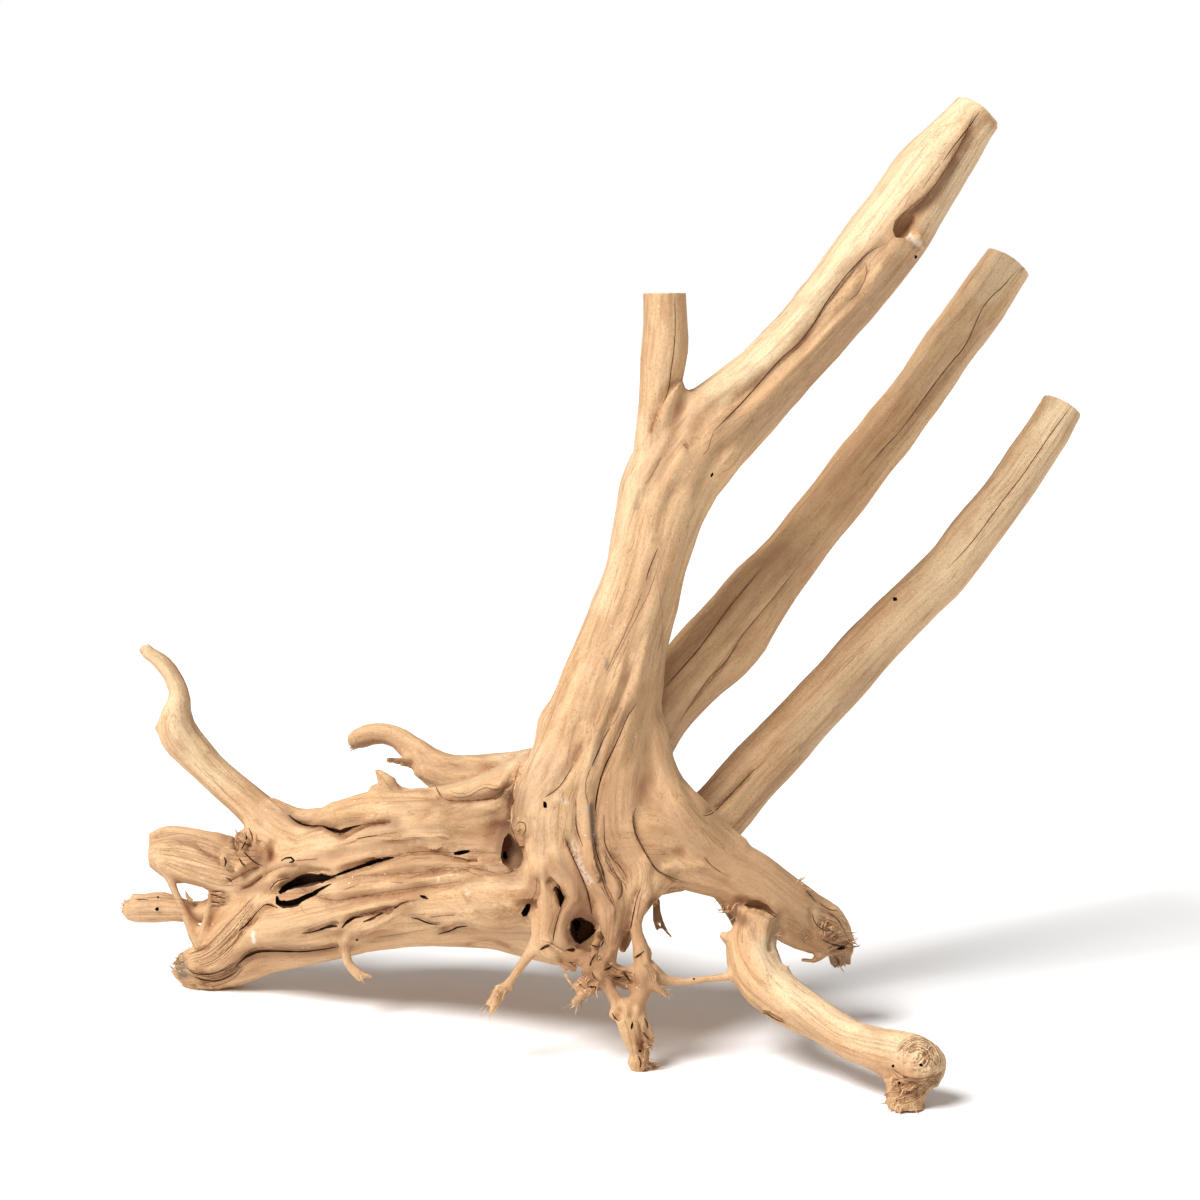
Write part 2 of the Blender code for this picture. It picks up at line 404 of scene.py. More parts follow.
LEFT_TWIGS = (
    Limb("cross_fibre", ((158, 864, 7, 144), (166, 873, 9, 142), (173, 887, 8, 140), (181, 905, 9, 138),
        (188, 922, 9, 136), (194, 938, 10, 134), (200, 950, 8, 132))),
    Limb("cross_fibre_back", ((176, 896, 5, 142), (184, 908, 6, 140), (193, 922, 7, 138),
        (202, 935, 8, 136), (206, 950, 6, 134))),
    Limb("cross_fibre_right", ((216, 885, 6, 134), (210, 900, 6, 134), (207, 915, 7, 134),
        (203, 930, 8, 134), (200, 944, 8, 133))),
    Limb("cross_spike", ((192, 902, 6, 142), (187, 896, 5, 142), (184, 888, 3, 142))),
    Limb("torn_stub", ((213, 902, 15, 136), (225, 897, 22, 134), (243, 893, 22, 130))),
    Limb("back_twig", ((412, 763, 10, 172), (401, 761, 5, 172), (388, 760, 2, 172))),
    Limb("back_spike", ((420, 775, 8, 168), (413, 773, 3, 168), (410, 773, 1.5, 168))),
    Limb("hook", ((432, 897, 15, 72), (414, 900, 13, 74), (401, 910, 12, 76), (382, 923, 11, 78),
        (364, 931, 11, 80), (351, 934, 11, 82), (345, 940, 10, 83), (346, 953, 10, 84),
        (349, 964, 10, 85), (357, 973, 10, 85), (363, 978, 8, 85))),
    Limb("hook_fork", ((359, 974, 7, 85), (368, 976, 5, 85), (380, 983, 2, 85))),
    Limb("hook_end", ((355, 970, 8, 85), (358, 979, 5, 85), (361, 981, 3, 85))),
    Limb("splinter", ((279, 898, 7, 97), (290, 896, 9, 97), (303, 892, 8, 98), (316, 887, 6, 98),
        (333, 881, 4, 96))),
    Limb("splinter_spike", ((298, 893, 6, 97), (303, 886, 3, 97))),
)

REAR_LIMBS = (
    Limb("back_root", ((351, 743, 16, 187), (361, 738, 22, 185), (376, 734, 22, 183), (395, 737, 22, 181),
        (414, 751, 27, 177), (434, 768, 37, 170), (465, 778, 50, 155), (505, 781, 60, 130),
        (550, 775, 60, 95), (590, 775, 70, 70))),
    Limb("back_mass", ((312, 868, 26, 142), (340, 862, 64, 140), (400, 855, 90, 128),
        (460, 850, 100, 112), (520, 845, 110, 92), (580, 840, 120, 70))),
    Limb("lens_back", ((258, 892, 26, 136), (285, 892, 42, 134), (320, 886, 50, 130), (370, 878, 50, 122)),
        grain=False),
    Limb("rear_stub", ((560, 828, 90, 84), (530, 826, 62, 120), (512, 830, 46, 152), (503, 836, 36, 178))),
    Limb("hidden_foot", ((689, 838, 56, 84), (719, 868, 47, 104), (741, 903, 38, 118),
        (756, 939, 32, 128), (767, 975, 34, 134), (770, 1000, 36, 138))),
)

RIGHT_LIMBS = (
    Limb("right_leg", ((625, 845, 110, 46), (660, 846, 88, 48), (700, 862, 66, 48), (740, 876, 62, 50),
        (772, 899, 64, 53), (800, 917, 62, 57), (826, 930, 54, 61), (842, 941, 36, 64))),
    Limb("leg_lobe", ((832, 936, 34, 64), (840, 950, 26, 66), (840, 962, 21, 68))),
    Limb("leg_rim", ((828, 946, 14, 56), (840, 940, 18, 57), (850, 934, 14, 60)), grain=False),
    Limb("long_foot", ((760, 900, 38, 58), (762, 916, 42, 45), (752, 947, 52, 27), (760, 977, 52, 10),
        (780, 996, 48, 0), (815, 1018, 42, -15), (845, 1037, 42, -28), (878, 1050, 46, -42),
        (908, 1060, 56, -52), (928, 1068, 52, -57), (938, 1072, 36, -60))),
    Limb("foot_spur", ((742, 944, 22, 26), (728, 938, 14, 26), (720, 934, 7, 26))),
    Limb("toe", ((917, 1069, 48, -52), (906, 1090, 38, -56), (905, 1109, 38, -57)), grain=False),
)

FRONT_LIMBS = (
    Limb("leg_1", ((541, 850, 38, 36), (541, 875, 32, 27), (544, 900, 28, 21), (544, 920, 26, 17),
        (543, 936, 22, 15), (548, 950, 18, 14), (560, 957, 14, 12))),
    Limb("leg_2", ((556, 830, 34, 36), (562, 858, 34, 29), (572, 880, 30, 22), (573, 897, 25, 17),
        (563, 914, 19, 14), (559, 930, 17, 12), (563, 944, 15, 11), (574, 954, 13, 10), (588, 962, 12, 9))),
    Limb("leg_3", ((583, 780, 24, 36), (585, 815, 26, 30), (587, 845, 26, 27), (592, 868, 27, 24),
        (600, 888, 31, 20), (613, 905, 36, 15), (613, 925, 25, 10), (612, 942, 19, 8), (608, 958, 19, 6),
        (605, 972, 17, 5), (608, 986, 14, 3), (614, 998, 13, 1), (620, 1008, 16, 0))),
    Limb("leg_4", ((642, 690, 30, 50), (631, 730, 36, 45), (621, 765, 38, 39), (617, 800, 38, 34),
        (619, 830, 38, 31), (628, 855, 36, 28), (636, 875, 32, 25), (634, 895, 30, 22),
        (626, 912, 22, 18))),
    Limb("leg_5", ((668, 862, 34, 40), (656, 878, 34, 30), (648, 892, 26, 22), (641, 907, 18, 15),
        (637, 922, 12, 11), (638, 937, 14, 9), (641, 950, 17, 7), (643, 963, 19, 6), (645, 976, 20, 5),
        (643, 989, 18, 4), (638, 1001, 19, 2), (634, 1010, 24, 0))),
    Limb("ring", ((586, 900, 16, 25), (597, 911, 13, 21), (602, 926, 11, 19), (600, 940, 11, 17),
        (593, 950, 10, 14))),
    Limb("gap_wall", ((622, 900, 30, 34), (625, 925, 16, 24), (625, 940, 14, 20), (622, 952, 7, 17))),
    Limb("clump", ((586, 964, 22, 9), (598, 970, 24, 7), (608, 974, 14, 6))),
    Limb("clump_splinter", ((586, 976, 8, 5), (590, 964, 7, 3), (597, 953, 3.5, 2))),
    Limb("bridge", ((608, 968, 14, 6), (620, 972, 15, 6), (632, 974, 15, 6), (642, 978, 14, 6))),
    Limb("bridge_low", ((610, 978, 12, 7), (622, 983, 9, 7), (634, 987, 9, 6), (642, 990, 12, 5))),
    Limb("club_knee", ((614, 1008, 8, -1), (615, 1014, 12, -2), (618, 1019, 8, -1)), grain=False),
    Limb("club", ((630, 1000, 16, 2), (630, 1008, 27, 0), (631, 1018, 31, 0), (634, 1032, 28, 0),
        (639, 1046, 22, 0), (640, 1056, 20, 0), (638, 1064, 21, 0), (640, 1072, 17, 0))),
    Limb("club_torn", ((643, 1018, 8, -2), (648, 1030, 9, -2), (651, 1040, 8, -1), (648, 1048, 5, 0))),
    Limb("club_flake", ((624, 1036, 6, 0), (627, 1043, 5, 0), (628, 1049, 2, 0))),
    Limb("tie", ((650, 970, 18, 5), (660, 978, 13, 7), (678, 982, 9, 9), (705, 979, 8, 11),
        (726, 977, 9, 13), (736, 973, 14, 14), (750, 970, 22, 16))),
    Limb("tie_fork", ((652, 984, 12, 3), (660, 991, 8, 2), (668, 995, 4, 2))),
    Limb("twig", ((545, 934, 18, 20), (533, 949, 13, 16), (520, 967, 9.5, 14), (512, 979, 9, 12),
        (503, 990, 12, 11), (496, 999, 10, 10))),
    Limb("twig_left", ((502, 986, 8, 10), (492, 998, 6, 9), (482, 1008, 2.5, 9))),
    Limb("twig_down", ((499, 998, 9, 10), (494, 1007, 8, 9), (490, 1015, 4, 9), (491, 1025, 2.2, 9))),
    Limb("twig_spur", ((505, 984, 8, 11), (511, 988, 6, 10), (515, 991, 3, 10))),
    Limb("thread", ((530, 940, 4, 16), (545, 942, 4.5, 9), (556, 948, 4, 5), (568, 956, 3.6, 3),
        (583, 965, 4, 3)), grain=False),
    Limb("under_root", ((556, 956, 6, 14), (563, 968, 4.5, 10), (569, 980, 5, 8), (576, 987, 5, 7),
        (586, 986, 6, 6))),
    Limb("under_flake", ((560, 958, 8, 13), (570, 966, 8, 10), (577, 972, 4, 9)), grain=False),
    Limb("clump_tip_low", ((597, 985, 14, 6), (586, 992, 12, 5), (578, 999, 9, 5), (573, 1007, 4, 5))),
    Limb("clump_tip_left", ((592, 976, 14, 8), (582, 983, 9, 7), (573, 990, 4, 7))),
    Limb("hanging_fibre", ((655, 898, 9, 40), (656, 908, 7.5, 38), (655, 920, 5, 38), (658, 932, 4, 38))),
    Limb("hanging_fibre_long", ((656, 898, 9, 40), (657, 909, 7.5, 38), (662, 921, 5, 38),
        (666, 931, 4.5, 38), (673, 938, 4, 38))),
    Limb("brown_stub", ((748, 903, 20, 54), (738, 905, 17, 47), (730, 906, 14, 44), (724, 907, 9, 43))),
    Limb("curved_fibre", ((728, 902, 3, 48), (736, 904, 3.5, 44), (741, 910, 3, 43), (743, 918, 3, 43))),
    Limb("foot_flake", ((780, 968, 5, 6), (786, 966, 3.4, 5), (790, 968, 2, 5)), grain=False),
    Limb("torn_prong", ((828, 950, 7, 54), (820, 953, 6, 53), (815, 953, 5, 53))),
    Limb("torn_twig", ((846, 942, 11, 58), (834, 949, 11, 55), (822, 955, 8, 54), (812, 960, 6, 54),
        (801, 960, 6, 54))),
)

SHARDS = (
    Limb("shard_1", ((236, 866, 9, 122), (233, 850, 8, 120), (231, 836, 4, 120)), grain=False),
    Limb("shard_2", ((244, 868, 9, 120), (243, 850, 8, 118), (246, 829, 4, 118)), grain=False),
    Limb("shard_3", ((252, 868, 9, 120), (254, 850, 7, 118), (257, 834, 4, 118)), grain=False),
    Limb("shard_4", ((262, 868, 9, 120), (266, 856, 7, 119), (262, 842, 4, 119)), grain=False),
    Limb("shard_5", ((228, 868, 9, 123), (224, 856, 8, 121), (226, 846, 4, 121)), grain=False),
    Limb("shard_6", ((236, 872, 8, 119), (246, 862, 7, 117), (256, 858, 4, 117)), grain=False),
)

LIMBS = SHARDS + TRUNK_LIMBS + LEFT_LIMBS + LEFT_TWIGS + REAR_LIMBS + RIGHT_LIMBS + FRONT_LIMBS

STRANDS = (
    # Curled roots at the trunk's foot
    Strand(((572, 954), (582, 961), (590, 971), (597, 983)), 6, 1.7),
    Strand(((602, 953), (597, 965), (601, 978), (612, 991)), 7, 1.7),
    Strand(((619, 957), (612, 966), (606, 976)), 5, 1.5),
    Strand(((649, 954), (657, 965), (655, 980), (647, 993)), 6, 1.6),
    Strand(((588, 904), (599, 911), (603, 923), (598, 934), (590, 941)), 6, 1.8),
    Strand(((600, 850), (607, 870), (616, 888), (618, 905)), 5, 1.0),
    Strand(((566, 953), (580, 952), (594, 954), (606, 949)), 6, 1.6),
    Strand(((612, 966), (622, 970), (630, 978), (634, 988)), 5, 1.7),
    Strand(((626, 965), (636, 970), (642, 980), (641, 992)), 5, 1.7),
    Strand(((584, 958), (592, 956), (598, 962), (596, 972), (588, 979)), 5, 1.9),
    Strand(((606, 957), (603, 968), (604, 981)), 4.6, 1.8),
    Strand(((636, 940), (640, 952), (648, 963)), 5, 1.4),
    Strand(((613, 1005), (618, 1016), (622, 1030), (628, 1045), (633, 1062)), 6, 1.5),
    Strand(((640, 1003), (643, 1016), (641, 1030), (646, 1044), (644, 1058)), 6, 1.7),
    Strand(((892, 1084), (902, 1078), (915, 1078), (928, 1084)), 6, 1.6),
    Strand(((890, 1096), (900, 1090), (912, 1092)), 6, 1.6),
    Strand(((330, 832), (347, 829), (362, 823), (385, 818), (420, 813), (460, 808), (495, 800)), 30, 1.6),
    Strand(((300, 842), (325, 848), (350, 846), (372, 842), (400, 842), (440, 839), (480, 832)), 24, 1.6),
    Strand(((285, 870), (300, 868), (330, 866), (360, 857), (390, 850), (430, 848)), 18, 1.4),
    Strand(((195, 962), (215, 943), (238, 918), (258, 897), (272, 884), (296, 872)), 26, 1.8),
    Strand(((200, 968), (240, 946), (290, 926), (340, 914), (390, 898), (440, 888)), 34, 1.2),
    Strand(((238, 974), (290, 960), (340, 951), (400, 939), (460, 936), (520, 941)), 22, 1.4),
    Strand(((232, 890), (246, 884), (262, 873), (280, 867), (300, 866)), 13, 1.4),
    Strand(((338, 886), (360, 876), (395, 868), (430, 864), (450, 872)), 16, 1.0),
    Strand(((438, 897), (424, 901), (411, 904), (401, 909), (392, 916), (381, 922), (366, 929),
        (352, 935), (347, 944)), 13, 3.4),
    Strand(((445, 789), (455, 794), (463, 795), (478, 789), (490, 786), (501, 786), (506, 776),
        (514, 764), (530, 748)), 8, 1.6),
    Strand(((437, 787), (441, 796), (444, 800)), 6, 0.9),
    Strand(((684, 376), (677, 392), (668, 412), (662, 436)), 15, 1.4),
    Strand(((540, 815), (556, 800), (566, 782), (574, 765)), 14, 0.8),
)

FURROWS = (
    # Crotch and trunk
    Furrow(((690, 386), (683, 400), (677, 425), (670, 455), (657, 478), (645, 492)), 12, 1.8),
    Furrow(((684, 447), (694, 434), (704, 419), (717, 407), (735, 396), (755, 381), (776, 364)), 15, 2.8),
    Furrow(((684, 447), (688, 444)), 9, 2.2),
    Furrow(((733, 438), (721, 450), (712, 462), (703, 478), (692, 495)), 11, 1.5),
    Furrow(((680, 480), (668, 500), (660, 520), (655, 540)), 10, 1.4),
    Furrow(((648, 562), (647, 580), (641, 598), (633, 615), (622, 640), (610, 665), (600, 685)), 13, 1.6),
    Furrow(((641, 628), (633, 648), (623, 670), (612, 688), (600, 705), (591, 722), (580, 742)), 14, 1.2),
    Furrow(((637, 655), (628, 680), (620, 702), (612, 722)), 9, 1.0),
    Furrow(((580, 742), (572, 762), (563, 778), (552, 791)), 9, 1.4),
    Furrow(((651, 690), (652, 730), (652, 770), (646, 800)), 14, 1.2),
    Furrow(((662, 562), (658, 590), (648, 620), (642, 640)), 10, -1.2),
    Furrow(((588, 640), (580, 675), (570, 710), (562, 745)), 14, -1.2),
    Furrow(((625, 660), (612, 695), (600, 725), (590, 750)), 8, -1.0),
    Furrow(((588, 800), (588, 830), (590, 855), (597, 880)), 8, -1.2),
    # Belly between the left roots and the trunk
    Furrow(((540, 853), (541, 880), (545, 910), (546, 935)), 10, -1.2),
    Furrow(((583, 930), (583, 931)), 22, 2.0),
    Furrow(((497, 860), (504, 845), (508, 826)), 30, 4.5),
    Furrow(((508, 864), (512, 850), (508, 836)), 16, 4.0),
    Furrow(((440, 812), (465, 822), (495, 835)), 20, 3.0),
    Furrow(((526, 908), (528, 902)), 14, 2.6),
    Furrow(((462, 866), (480, 862), (494, 872)), 10, -1.6),
    # Broad dips and ridges of the left roots
    Furrow(((300, 864), (345, 852), (400, 842), (450, 838), (500, 832)), 14, 2.6),
    Furrow(((330, 906), (380, 896), (440, 886)), 12, 2.4),
    Furrow(((275, 932), (340, 938), (420, 936), (520, 930)), 9, 1.8),
    Furrow(((380, 812), (420, 806), (470, 812)), 10, -1.8),
    Furrow(((300, 800), (340, 775), (400, 758)), 12, -1.4),
    Furrow(((380, 790), (420, 786), (450, 806)), 10, 2.0),
    Furrow(((460, 884), (490, 896), (505, 915)), 14, -2.0),
    Furrow(((470, 770), (500, 765), (520, 748)), 9, 1.6),
    Furrow(((560, 700), (548, 740), (530, 790), (528, 830)), 12, -1.2),
    Furrow(((552, 840), (560, 862), (572, 890), (578, 912)), 9, -1.6),
    Furrow(((612, 868), (616, 890), (610, 925)), 7, -1.6),
    Furrow(((646, 850), (645, 880), (650, 905)), 8, -1.4),
    Furrow(((656, 700), (664, 760), (680, 810), (700, 840)), 16, -1.4),
    # Left roots
    Furrow(((385, 931), (405, 926), (430, 925)), 7, 1.2),
    Furrow(((163, 858), (185, 870), (205, 880)), 8, 1.0),
    Furrow(((176, 735), (200, 765), (232, 795), (262, 822)), 6, 0.9),
    Furrow(((190, 738), (215, 765), (245, 790), (275, 812)), 5, 0.9),
    Furrow(((420, 752), (440, 764), (465, 770), (500, 768)), 8, 1.4),
    # First branch
    Furrow(((880, 242), (862, 260), (845, 278), (828, 301), (815, 322), (798, 344), (775, 365),
        (755, 387), (735, 408), (716, 428)), 15, 2.8),
    Furrow(((868, 255), (867, 268), (864, 282), (858, 294), (835, 315), (815, 335), (795, 358)), 9, 1.8),
    Furrow(((905, 256), (893, 272), (880, 290), (866, 308)), 8, 1.0),
    Furrow(((850, 322), (830, 345), (805, 372), (780, 398)), 8, 1.0),
    Furrow(((885, 262), (874, 280), (862, 298)), 7, -1.0),
    Furrow(((860, 235), (835, 268), (808, 305), (775, 345)), 13, -1.0),
    # Second and third branch
    Furrow(((1000, 288), (980, 316), (958, 352), (935, 386), (905, 424)), 7, 0.9),
    Furrow(((801, 563), (770, 602), (742, 636), (711, 676), (681, 720)), 7, 0.9),
    Furrow(((755, 769), (735, 790), (720, 806), (711, 814)), 6, 1.2),
    # Right leg and long foot
    Furrow(((660, 872), (680, 868), (705, 866), (735, 880)), 8, -1.2),
    Furrow(((655, 862), (670, 856), (690, 852)), 10, 1.2),
    Furrow(((730, 903), (746, 904), (762, 907), (776, 916)), 9, 2.6),
    Furrow(((776, 914), (777, 928), (772, 942), (774, 955)), 8, 2.4),
    Furrow(((806, 890), (820, 900), (838, 910)), 5, 1.6),
    Furrow(((822, 915), (832, 925), (842, 934)), 4, 1.2),
    Furrow(((812, 905), (812, 922), (818, 936)), 5, 1.0),
    Furrow(((790, 985), (820, 1008), (850, 1030), (880, 1042)), 9, 1.0),
    Furrow(((775, 1010), (800, 1028), (825, 1046), (850, 1060)), 8, 1.0),
    Furrow(((756, 935), (757, 960), (768, 985)), 12, -1.0),
    # Club
    Furrow(((632, 1003), (632, 1012), (631, 1020)), 5, 1.4),
    Furrow(((620, 1006), (619, 1016), (621, 1024)), 5, 1.8),
    Furrow(((641, 1020), (640, 1040), (641, 1056)), 4, 1.4),
)

FOLDS = (
    # The wood on the left hand of each line's way stands up; that on the right hand dips
    Fold(((684, 884), (672, 880), (660, 873), (654, 867), (647, 856), (641, 844), (636, 834), (633, 820),
        (634, 808)), 0.9, 1.9, 15),
    Fold(((521, 760), (515, 780), (511, 800), (510, 815), (512, 829), (516, 840), (521, 850), (523, 858),
        (519, 867), (510, 873), (500, 873)), 1.4, 3.4, 16),
    Fold(((597, 885), (602, 876), (597, 866), (594, 852), (593, 838)), 0.8, 1.6, 10),
    Fold(((592, 918), (590, 904), (586, 887), (580, 873), (573, 857), (568, 846), (566, 836)), 0.7, 1.4, 9),
    Fold(((550, 876), (558, 886), (563, 894), (566, 901)), 1.2, 2.2, 12),
    Fold(((641, 886), (636, 900), (634, 914), (627, 938)), 0.6, 1.6, 8),
    Fold(((684, 376), (670, 392), (662, 406), (655, 424), (649, 442)), 1.0, 1.8, 12),
    Fold(((243, 928), (252, 918), (262, 907), (268, 904), (276, 906)), 1.4, 2.2, 10),
    Fold(((290, 879), (279, 880), (273, 885), (269, 892)), 1.0, 1.2, 6),
    Fold(((893, 236), (899, 221), (911, 207), (926, 195), (938, 181), (950, 163), (963, 139), (975, 113)),
        0.8, 3.0, 26),
    Fold(((716, 430), (740, 405), (770, 371), (798, 344), (815, 322), (828, 300), (845, 277), (868, 252),
        (886, 238)), 0.5, 0.8, 10),
    Fold(((758, 1010), (770, 1013), (785, 1022)), 0.5, 1.8, 6),
    Fold(((861, 476), (880, 452), (900, 431), (920, 404), (933, 386), (950, 364), (966, 344), (984, 306)),
        0.5, 1.1, 9),
    Fold(((681, 720), (711, 676), (742, 636), (770, 602), (801, 563)), 0.4, 1.0, 8),
)

VALLEYS = (
    # Trunk: each line goes up, so that the left hand is the viewer's left
    Valley(((604, 880), (603, 865), (598, 850), (596, 830), (597, 806), (597, 795), (600, 782),
        (607, 768), (613, 752), (619, 737), (627, 718), (635, 706), (642, 688)), 1.6, 10, 7),
    Valley(((592, 770), (598, 752), (602, 741), (609, 728), (614, 715), (625, 690), (633, 665)), 1.0, 9, 5),
    Valley(((584, 850), (578, 832), (575, 812), (577, 795), (580, 780)), 1.1, 8, 5),
    Valley(((630, 886), (625, 872), (615, 862), (607, 848), (604, 830), (605, 812)), 1.2, 6, 8),
    Valley(((592, 916), (590, 904), (586, 887), (580, 873), (573, 857), (568, 846), (566, 834)), 1.6, 8, 7),
    Valley(((553, 942), (554, 932), (557, 920), (561, 908), (566, 899), (563, 892), (556, 883)), 2.4, 8, 5),
    Valley(((543, 800), (549, 795), (556, 791), (562, 785), (569, 773), (576, 755), (586, 735)),
        1.2, 5, 10),
    Valley(((735, 880), (722, 873), (712, 866), (704, 857)), 0.7, 6, 6),
    Valley(((703, 816), (720, 804), (738, 787), (757, 767)), 1.2, 6, 4),
    # The trunk's edge over the left roots, and the hole in the belly
    Valley(((511, 873), (518, 867), (522, 857), (520, 848), (516, 841), (512, 832), (511, 822),
        (513, 806), (516, 792)), 12.0, 46, 2.4),
    Valley(((511, 872), (518, 866), (522, 857), (520, 848), (516, 841), (512, 832), (511, 820)),
        6.0, 20, 2.4),
    Valley(((525, 916), (527, 908), (531, 901), (536, 892), (537, 876)), 3.6, 15, 9),
    # Left roots: each line goes right, so that the left hand is the upper side
    Valley(((285, 812), (297, 822), (308, 826), (322, 826), (333, 832), (341, 835), (350, 830),
        (362, 825), (396, 822)), 5.2, 19, 6),
    Valley(((340, 846), (355, 841), (367, 837), (375, 836), (402, 832)), 2.0, 10, 5),
    Valley(((280, 892), (287, 884), (297, 878), (308, 874), (320, 873), (334, 876)), 2.2, 13, 3),
    Valley(((334, 877), (350, 871), (365, 866), (380, 860), (393, 857), (408, 853)), 4.2, 18, 5),
    Valley(((350, 866), (385, 857), (420, 852), (455, 853), (480, 853), (510, 852)), 8.0, 44, 12),
    Valley(((285, 880), (330, 900), (380, 893), (430, 886), (470, 880)), 3.0, 8, 16),
    Valley(((340, 884), (365, 878), (400, 874), (425, 872), (441, 868), (452, 862), (458, 854)), 1.6, 8, 6),
    Valley(((455, 856), (462, 852), (480, 852), (500, 854)), 2.6, 15, 6),
    Valley(((446, 869), (465, 870), (480, 877)), 0.9, 3, 5),
    Valley(((302, 935), (316, 931), (325, 927), (333, 924), (340, 925)), 2.6, 5, 8),
    Valley(((341, 930), (350, 920), (360, 917), (375, 914), (388, 909), (400, 904), (410, 901),
        (422, 898)), 3.4, 10, 3),
    Valley(((412, 917), (420, 920), (430, 924), (442, 926)), 1.8, 5, 6),
    Valley(((436, 935), (450, 931), (458, 927), (468, 926)), 2.1, 5, 7),
    Valley(((462, 947), (478, 941), (492, 941), (514, 951)), 1.4, 6, 4),
    Valley(((400, 880), (425, 874), (447, 868), (470, 868), (490, 872), (504, 876)), 2.6, 12, 7),
    Valley(((343, 892), (352, 888), (363, 883), (380, 881)), 1.0, 4, 7),
    Valley(((232, 969), (243, 958), (255, 951), (275, 949), (300, 950), (320, 949), (345, 945)),
        4.2, 3, 13),
    Valley(((175, 841), (188, 842), (195, 845), (208, 855), (225, 868)), 2.4, 7, 4),
    Valley(((150, 839), (163, 834), (182, 832)), 1.2, 3, 4),
    Valley(((170, 836), (195, 838), (215, 845), (228, 857)), 1.2, 4, 4),
    Valley(((224, 884), (236, 878), (250, 870), (262, 866)), 2.0, 4, 5),
    Valley(((240, 890), (250, 886), (257, 881), (264, 875)), 2.6, 5, 5),
    Valley(((262, 880), (268, 873), (280, 868), (300, 866)), 1.2, 5, 5),
    Valley(((440, 797), (452, 801), (470, 801), (490, 799), (503, 790), (511, 778)), 3.0, 9, 2),
)

CREASES = (
    Crease(((660, 560), (650, 590), (638, 615), (625, 640), (612, 665), (603, 684)), 0.6, 0.45),
    Crease(((630, 640), (620, 660), (612, 680)), 0.6, 0.35),
    Crease(((592, 766), (587, 778), (586, 792), (589, 806)), 0.7, 0.6),
    Crease(((643, 590), (639, 601), (633, 615), (622, 640), (611, 662), (604, 677)), 0.6, 0.6),
    Crease(((612, 726), (618, 716), (622, 706)), 0.6, 0.5),
    Crease(((606, 868), (614, 876), (624, 883), (628, 892)), 0.6, 0.6),
    Crease(((600, 885), (606, 895), (613, 905)), 0.8, 0.6),
    Crease(((655, 560), (662, 610), (662, 655)), 0.6, 0.25),
    Crease(((540, 745), (530, 765), (524, 785)), 0.6, 0.3),
    Crease(((643, 890), (640, 902), (637, 920)), 0.6, 0.5),
    Crease(((560, 690), (550, 720), (540, 745)), 0.6, 0.3),
    Crease(((742, 640), (720, 668), (700, 694), (681, 718)), 0.6, 0.6),
    Crease(((700, 694), (716, 676), (730, 660)), 0.5, 0.35),
    Crease(((714, 431), (711, 440), (708, 450), (702, 456)), 0.6, 0.6),
    Crease(((662, 456), (654, 472), (645, 486)), 0.7, 0.5),
    Crease(((866, 262), (867, 272), (863, 284), (857, 294), (848, 302)), 0.7, 0.7),
    Crease(((942, 162), (930, 178), (922, 190)), 0.6, 0.6),
    Crease(((975, 136), (960, 160), (945, 182)), 0.5, 0.4),
    Crease(((240, 768), (262, 792), (288, 814)), 0.6, 0.4),
    Crease(((200, 765), (225, 792), (250, 815)), 0.6, 0.35),
    Crease(((390, 842), (410, 838), (440, 838)), 0.7, 0.3),
    Crease(((393, 857), (402, 855)), 0.6, 0.8),
    Crease(((410, 859), (420, 858), (432, 858)), 0.9, 0.5),
    Crease(((380, 798), (410, 797), (432, 800)), 0.7, 0.3),
    Crease(((300, 905), (303, 911), (306, 914)), 0.6, 0.4),
    Crease(((428, 918), (440, 916), (456, 915)), 0.8, 0.7),
    Crease(((420, 915), (426, 914)), 0.6, 0.6),
    Crease(((390, 882), (404, 883)), 0.8, 0.5),
    Crease(((366, 916), (378, 911), (392, 907), (404, 902), (419, 900)), 0.7, 0.9),
    Crease(((432, 929), (400, 934), (372, 938)), 0.6, 0.4),
    Crease(((343, 890), (352, 887), (362, 882)), 0.6, 0.6),
    Crease(((425, 870), (445, 869), (462, 869), (472, 873), (486, 878)), 0.7, 0.6),
    Crease(((340, 877), (365, 876), (395, 874)), 1.6, 0.3),
    Crease(((295, 861), (305, 860), (318, 859)), 0.6, 0.8),
    Crease(((447, 794), (455, 797), (462, 798), (470, 796), (478, 791), (486, 788), (494, 790),
        (502, 789), (507, 783), (512, 772)), 0.7, 0.7, -0.9),
    Crease(((447, 790), (455, 793), (462, 794), (470, 792), (478, 787), (486, 784), (494, 786),
        (501, 785)), 0.5, 0.2, 0.9),
    Crease(((440, 797), (452, 801), (470, 801), (488, 799), (500, 793), (509, 783)), 0.8, 0.7),
    Crease(((516, 792), (513, 804), (511, 816)), 0.8, 0.5),
    Crease(((540, 940), (552, 944), (568, 953)), 0.7, 0.5),
    Crease(((780, 640), (755, 668), (735, 690)), 0.5, 0.25),
)

